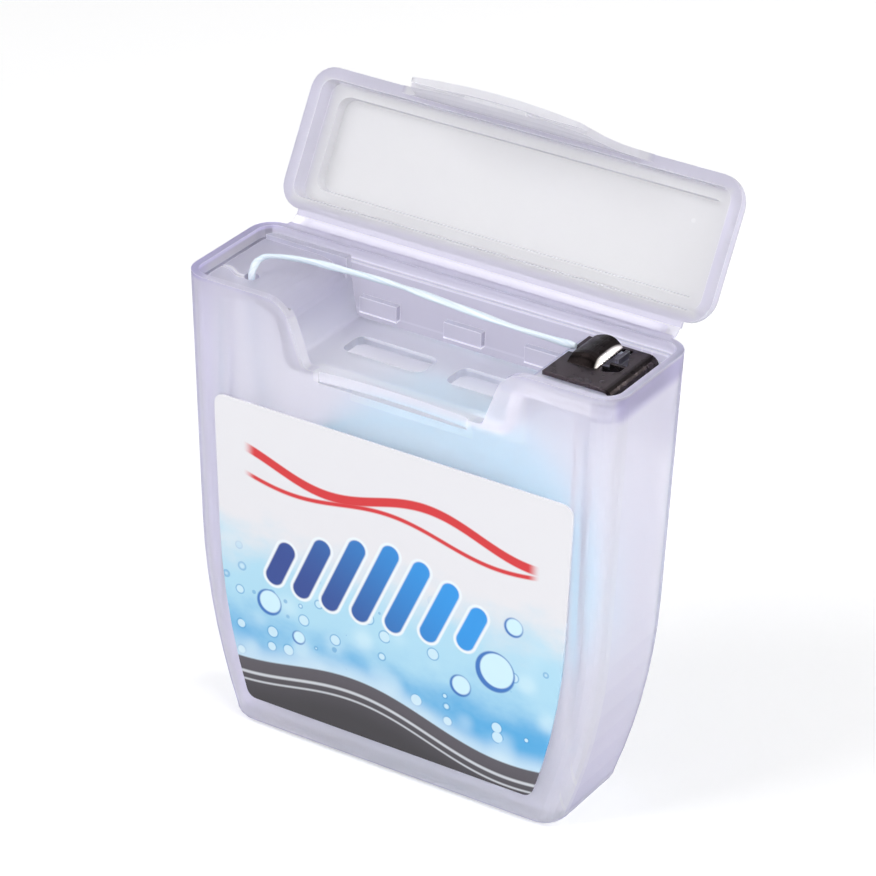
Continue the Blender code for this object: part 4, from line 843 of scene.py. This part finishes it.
def film_arc(steps=10):
    """The film's middle line across the hinge, from the case's flange to the open lid's."""
    start = Vector((0.0, -FILM_REACH, -FLANGE_MIDDLE))
    flat = Vector((0.0, -FILM_REACH, FLANGE_MIDDLE))
    end = Matrix.Rotation(-LID_OPEN, 3, "X") @ flat
    handle = FILM_REACH * FILM_EASE
    out_of_case = start + Vector((0.0, handle, 0.0))
    out_of_lid = end + Matrix.Rotation(-LID_OPEN, 3, "X") @ Vector((0.0, handle, 0.0))
    points = []
    for step in range(steps + 1):
        t = step / steps
        points.append(HINGE_PLACE + start * (1 - t) ** 3 + out_of_case * 3 * t * (1 - t) ** 2
                      + out_of_lid * 3 * t ** 2 * (1 - t) + end * t ** 3)
    return points


print("film arc points:", len(film_arc()))


# %% Film
def film_mesh(slices=16):
    """The arc drawn out along the hinge, slice by slice."""
    bm = bmesh.new()
    line = [bm.verts.new(point - Vector((FILM_HALF_LENGTH, 0.0, 0.0))) for point in film_arc()]
    edges = [bm.edges.new(pair) for pair in zip(line, line[1:])]
    for _ in range(slices):
        swept = bmesh.ops.extrude_edge_only(bm, edges=edges)
        moved = [item for item in swept["geom"] if isinstance(item, bmesh.types.BMVert)]
        edges = [item for item in swept["geom"] if isinstance(item, bmesh.types.BMEdge)
                 and all(vert in moved for vert in item.verts)]
        bmesh.ops.translate(bm, vec=(2 * FILM_HALF_LENGTH / slices, 0.0, 0.0), verts=moved)
    bmesh.ops.recalc_face_normals(bm, faces=bm.faces)
    return mesh_of(bm, "film")


film = show("film", film_mesh(), CASE_PLASTIC, None)
wall = film.modifiers.new("wall", "SOLIDIFY")
wall.thickness = FILM_THICKNESS
wall.offset = 0.0
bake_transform(film)
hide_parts("hinge_film")

# %% [markdown]
# ## Label
# The label is a printed film. Its print here is a design of its own: white at
# the top, then a sky that deepens downwards, red ribbons, a burst of slanted
# blue bars, drops, and a dark wave along the foot. It carries no words. Each
# shape is a small group that turns a place into a mask with a soft edge, the
# way a printer's plate would, and the colours are laid over one another.

# %% Bar group
EDGE = 0.12
bar, given, gives = new_group(
    "printed_bar",
    [("Across", "NodeSocketFloat", 0.0), ("Up", "NodeSocketFloat", 0.0),
     ("Middle Across", "NodeSocketFloat", 0.0), ("Middle Up", "NodeSocketFloat", 0.0),
     ("Lean", "NodeSocketFloat", 0.5), ("Half Length", "NodeSocketFloat", 2.0),
     ("Half Width", "NodeSocketFloat", 0.5)],
    [("Mask", "NodeSocketFloat"), ("Along", "NodeSocketFloat")])
dx = calc(bar, "SUBTRACT", given["Across"], given["Middle Across"])
dz = calc(bar, "SUBTRACT", given["Up"], given["Middle Up"])
sine = calc(bar, "SINE", given["Lean"])
cosine = calc(bar, "COSINE", given["Lean"])
along = calc(bar, "ADD", calc(bar, "MULTIPLY", dx, sine), calc(bar, "MULTIPLY", dz, cosine))
beside = calc(bar, "SUBTRACT", calc(bar, "MULTIPLY", dx, cosine), calc(bar, "MULTIPLY", dz, sine))
past = calc(bar, "MAXIMUM", calc(bar, "SUBTRACT", calc(bar, "ABSOLUTE", along), given["Half Length"]), 0.0)
reach = calc(bar, "SQRT", calc(bar, "ADD", calc(bar, "MULTIPLY", past, past),
                               calc(bar, "MULTIPLY", beside, beside)))
inside = calc(bar, "SUBTRACT", given["Half Width"], reach)
bar.links.new(fade(bar, inside, -EDGE, EDGE), gives["Mask"])
bar.links.new(along, gives["Along"])
print("shape group:", bar.name)

# %% Wave group
wave, given, gives = new_group(
    "printed_wave",
    [("Across", "NodeSocketFloat", 0.0), ("Up", "NodeSocketFloat", 0.0),
     ("Height", "NodeSocketFloat", 10.0), ("Swing", "NodeSocketFloat", 1.0),
     ("Pace", "NodeSocketFloat", 0.2), ("Shift", "NodeSocketFloat", 0.0),
     ("Lean", "NodeSocketFloat", 0.0)],
    [("Above", "NodeSocketFloat")])
swing = calc(wave, "SINE", calc(wave, "MULTIPLY_ADD", given["Across"], given["Pace"], given["Shift"]))
crest = calc(wave, "MULTIPLY_ADD", swing, given["Swing"], given["Height"])
crest = calc(wave, "MULTIPLY_ADD", given["Across"], given["Lean"], crest)
wave.links.new(calc(wave, "SUBTRACT", given["Up"], crest), gives["Above"])
print("shape group:", wave.name)

# %% [markdown]
# The ground is white and turns into a sky. Noise added to the height makes
# the border between the two a bank of soft clouds, and a smooth Voronoi
# pattern gives the sky its light ripples.

# %% Sky of the label
LABEL_PRINT, tree, shader = new_finish("label_print")
place = object_place(tree)
across, _, up = axes_of(tree, place)
CLOUD_HEIGHT = 9.0
WHITE_TO_SKY, SKY_TO_DEEP = (30.5, 22.0), (21.0, 12.5)
drawn_up = put(tree, "ShaderNodeMapping", Vector=place, Scale=(1.0, 1.0, 1.6)).outputs[0]
clouds = noise(tree, drawn_up, 150.0, 4.0, 0.55)
depth = calc(tree, "MULTIPLY_ADD", clouds, CLOUD_HEIGHT, up)
WHITE, SKY, DEEP_SKY = colour(0.79, 0.785, 0.82), colour(0.42, 0.70, 0.86), colour(0.07, 0.38, 0.72)
ground = blend_colour(tree, fade(tree, depth, *WHITE_TO_SKY), WHITE, SKY)
ground = blend_colour(tree, fade(tree, depth, *SKY_TO_DEEP), ground, DEEP_SKY)

ripple = put(tree, "ShaderNodeTexVoronoi", {"feature": "SMOOTH_F1"}, Vector=place, Scale=230.0).outputs[0]
glint = calc(tree, "MULTIPLY", fade(tree, ripple, 0.40, 0.10, 0.0, 0.50), fade(tree, up, 25.0, 14.0))
ground = blend_colour(tree, glint, ground, colour(0.72, 0.89, 0.96))
print("label nodes so far:", len(tree.nodes))

# %% [markdown]
# A spray of fine droplets grows thicker towards the foot. Each cell of a
# Voronoi pattern holds one round droplet with a shaded rim, and the cell's own
# random colour picks its size, or none.

# %% Spray on the label
cells = put(tree, "ShaderNodeTexVoronoi", {"feature": "F1"}, Vector=place, Scale=520.0, Randomness=0.8)
picked = put(tree, "ShaderNodeSeparateColor", Color=cells.outputs["Color"]).outputs[0]
inside = calc(tree, "SUBTRACT", fade(tree, picked, 0.35, 1.0, 0.0, 0.40), cells.outputs["Distance"])
sprayed = calc(tree, "MULTIPLY", fade(tree, up, 24.5, 17.0), fade(tree, up, 6.0, 8.0))
# the shaded rim, and then the pale middle
for low, high, share, ink in ((-0.02, 0.03, 0.55, colour(0.06, 0.30, 0.62)),
                              (0.05, 0.11, 0.85, colour(0.66, 0.86, 0.95))):
    droplet = calc(tree, "MULTIPLY", fade(tree, inside, low, high), calc(tree, "MULTIPLY", sprayed, share))
    ground = blend_colour(tree, droplet, ground, ink)
print("label nodes so far:", len(tree.nodes))

# %% [markdown]
# Two red ribbons run across the top. Each is a thin band about a sine wave,
# and both end softly before the label's sides.

# %% Ribbons on the label
RED = colour(0.66, 0.022, 0.028)
RIBBON_LEAN, RIBBON_ENDS = -0.03, (17.5, 16.0)
off_ends = fade(tree, calc(tree, "ABSOLUTE", across), *RIBBON_ENDS)
for height, swing_by, pace, shift, thick in ((31.4, 1.25, 0.26, 0.4, 0.52), (29.6, 0.85, 0.26, 1.5, 0.24)):
    above = use(tree, wave, Across=across, Up=up, Height=height, Swing=swing_by, Pace=pace,
                Shift=shift, Lean=RIBBON_LEAN)[0]
    ribbon = fade(tree, calc(tree, "SUBTRACT", thick, calc(tree, "ABSOLUTE", above)), -EDGE, EDGE)
    ground = blend_colour(tree, calc(tree, "MULTIPLY", ribbon, off_ends), ground, RED)
print("label nodes so far:", len(tree.nodes))

# %% [markdown]
# A burst of slanted bars goes from navy at the left to azure at the right, and
# each bar has a pale border, which is the same shape drawn wider under it. A
# round drop is a bar of no length, with a paler one inside its rim.

# %% Bars on the label
BARS = ((-13.0, 20.6, 1.8), (-9.2, 21.2, 3.0), (-5.4, 21.7, 3.9), (-1.6, 22.0, 4.3),
        (2.2, 21.7, 3.9), (6.0, 21.2, 3.0), (9.8, 20.6, 1.8))
BAR_LEAN, BAR_HALF_WIDTH, BORDER_HALF_WIDTH = 0.42, 1.05, 1.38
NAVY, AZURE, NAVY_TO_AZURE = colour(0.016, 0.052, 0.27), colour(0.015, 0.30, 0.78), (-13.0, 11.0)
for middle_across, middle_up, half_length in BARS:
    border, shape = (use(tree, bar, Across=across, Up=up, Middle_Across=middle_across, Middle_Up=middle_up,
                         Lean=BAR_LEAN, Half_Length=half_length, Half_Width=half_width)
                     for half_width in (BORDER_HALF_WIDTH, BAR_HALF_WIDTH))
    ground = blend_colour(tree, border["Mask"], ground, colour(0.84, 0.89, 0.93))
    shade = fade(tree, calc(tree, "ADD", shape["Along"], middle_across), *NAVY_TO_AZURE)
    ground = blend_colour(tree, shape["Mask"], ground, blend_colour(tree, shade, NAVY, AZURE))
print("bars:", len(BARS))

# %% Drops on the label
DROPS = ((12.6, 16.6, 2.3), (8.6, 13.6, 1.25), (14.6, 22.4, 1.1), (-14.4, 15.6, 1.5), (-10.8, 12.6, 0.8))
FILL_SHARE, OFF_MIDDLE_SHARE = 0.84, 0.08
for middle_across, middle_up, radius in DROPS:
    # the rim, and then the paler fill
    for off, width, ink in ((0.0, radius, colour(0.030, 0.16, 0.50)),
                            (radius * OFF_MIDDLE_SHARE, radius * FILL_SHARE, colour(0.62, 0.85, 0.95))):
        drop = use(tree, bar, Across=across, Up=up, Middle_Across=middle_across + off,
                   Middle_Up=middle_up + off, Half_Length=0.0, Half_Width=width)["Mask"]
        ground = blend_colour(tree, drop, ground, ink)
print("drops:", len(DROPS))

# %% [markdown]
# A dark wave fills the foot, with two fine lines below its crest and a pale
# glow above it. The printed film itself is smooth, with a faint grain.

# %% Dark wave along the label's foot
above = use(tree, wave, Across=across, Up=up, Height=8.4, Swing=1.35, Pace=0.19, Shift=2.2, Lean=-0.05)[0]
ground = blend_colour(tree, fade(tree, above, 2.6, 0.0, 0.0, 0.72), ground, colour(0.70, 0.84, 0.92))
DARK_FOOT, DARK_CREST = colour(0.030, 0.026, 0.032), colour(0.085, 0.075, 0.092)
dark = blend_colour(tree, fade(tree, above, -5.0, 0.2), DARK_FOOT, DARK_CREST)
ground = blend_colour(tree, fade(tree, above, EDGE, -EDGE), ground, dark)
for offset, thick in ((-1.7, 0.16), (-2.6, 0.10)):
    off_line = calc(tree, "ABSOLUTE", calc(tree, "SUBTRACT", above, offset))
    line_mask = fade(tree, calc(tree, "SUBTRACT", thick, off_line), -EDGE, EDGE)
    ground = blend_colour(tree, line_mask, ground, colour(0.60, 0.62, 0.66))
print("label nodes so far:", len(tree.nodes))

# %% Film of the label
tree.links.new(ground, shader.inputs["Base Color"])
film_grain = noise(tree, place, 2600.0, 2.0)
tree.links.new(fade(tree, film_grain, 0.3, 0.7, 0.30, 0.38), shader.inputs["Roughness"])
bump = put(tree, "ShaderNodeBump", Strength=0.05, Distance=0.03 * MM, Height=film_grain)
tree.links.new(bump.outputs[0], shader.inputs["Normal"])
refinish("front_label", LABEL_PRINT)

# %% [markdown]
# ## Studio
# The world is white to the camera and to rays that have gone through or off
# something, and gives only a little light otherwise. The pale floor glows for
# the same rays, so it reads as paper and still keeps the shadow. A large
# lamp at the front left and one at the right give soft light, a weak one
# behind lifts the rear, and a small one behind the right end lights the cutter.


# %% Floor
def seen_rays(tree):
    """1 for the camera's rays and for those that have gone through or off something."""
    rays = put(tree, "ShaderNodeLightPath").outputs
    return join(tree, "MAXIMUM", rays["Is Camera Ray"], rays["Is Glossy Ray"], rays["Is Transmission Ray"])


PAPER, tree, shader = new_finish("paper")
fibre = noise(tree, object_place(tree), 900.0, 4.0)
tree.links.new(blend_colour(tree, fibre, colour(0.80, 0.80, 0.81), colour(0.84, 0.84, 0.84)),
               shader.inputs["Base Color"])
tree.links.new(fade(tree, fibre, 0.3, 0.7, 0.80, 0.92), shader.inputs["Roughness"])
shader.inputs["Emission Color"].default_value = colour(1.0, 1.0, 1.0)
PAPER_GLOW, PAPER_HALF_WIDTH, PAPER_DROP = 0.27, 3.0, 0.2 * MM
tree.links.new(calc(tree, "MULTIPLY", seen_rays(tree), PAPER_GLOW), shader.inputs["Emission Strength"])
bm = bmesh.new()
bmesh.ops.create_grid(bm, x_segments=1, y_segments=1, size=PAPER_HALF_WIDTH)
bmesh.ops.translate(bm, vec=(0.0, 0.0, -PAPER_DROP), verts=bm.verts)
floor = show("floor", mesh_of(bm, "floor"), PAPER, None, smooth=False)

# %% World
world = bpy.data.worlds.new("studio")
bpy.context.scene.world = world
world.use_nodes = True
tree = world.node_tree
back = tree.nodes["Background"]
WORLD_LIGHT, WORLD_SEEN = 0.25, 1.0
tree.links.new(fade(tree, seen_rays(tree), 0.0, 1.0, WORLD_LIGHT, WORLD_SEEN), back.inputs["Strength"])
back.inputs["Color"].default_value = colour(1.0, 1.0, 1.0)
print("world light:", WORLD_LIGHT)


# %% Lamps
def soft_lamp(name, place_mm, aim_mm, wide_mm, high_mm, power):
    """A rectangular lamp that looks at a point."""
    lamp = bpy.data.lights.new(name, "AREA")
    lamp.shape = "RECTANGLE"
    lamp.energy = power
    lamp.size, lamp.size_y = wide_mm * MM, high_mm * MM
    holder = bpy.data.objects.new(name, lamp)
    place, aim = Vector(place_mm) * MM, Vector(aim_mm) * MM
    turn = (aim - place).to_track_quat("-Z", "Y").to_matrix().to_4x4()
    holder.matrix_world = Matrix.Translation(place) @ turn
    bpy.context.scene.collection.objects.link(holder)
    return holder


MIDDLE = (0.0, 0.0, 32.0)
soft_lamp("key", (-260.0, -300.0, 420.0), MIDDLE, 320.0, 320.0, 2.1)
soft_lamp("fill", (420.0, -160.0, 240.0), MIDDLE, 360.0, 360.0, 1.5)
soft_lamp("behind", (-60.0, 380.0, 330.0), MIDDLE, 360.0, 360.0, 0.1)
soft_lamp("edge", (264.0, 316.0, 180.0), (18.0, 2.0, 49.0), 120.0, 160.0, 0.82)

# %% [markdown]
# ## Finish
# Standard view, so that a colour renders as it is written.

# %% Finish
bpy.context.scene.view_settings.view_transform = "Standard"
bpy.context.view_layer.update()
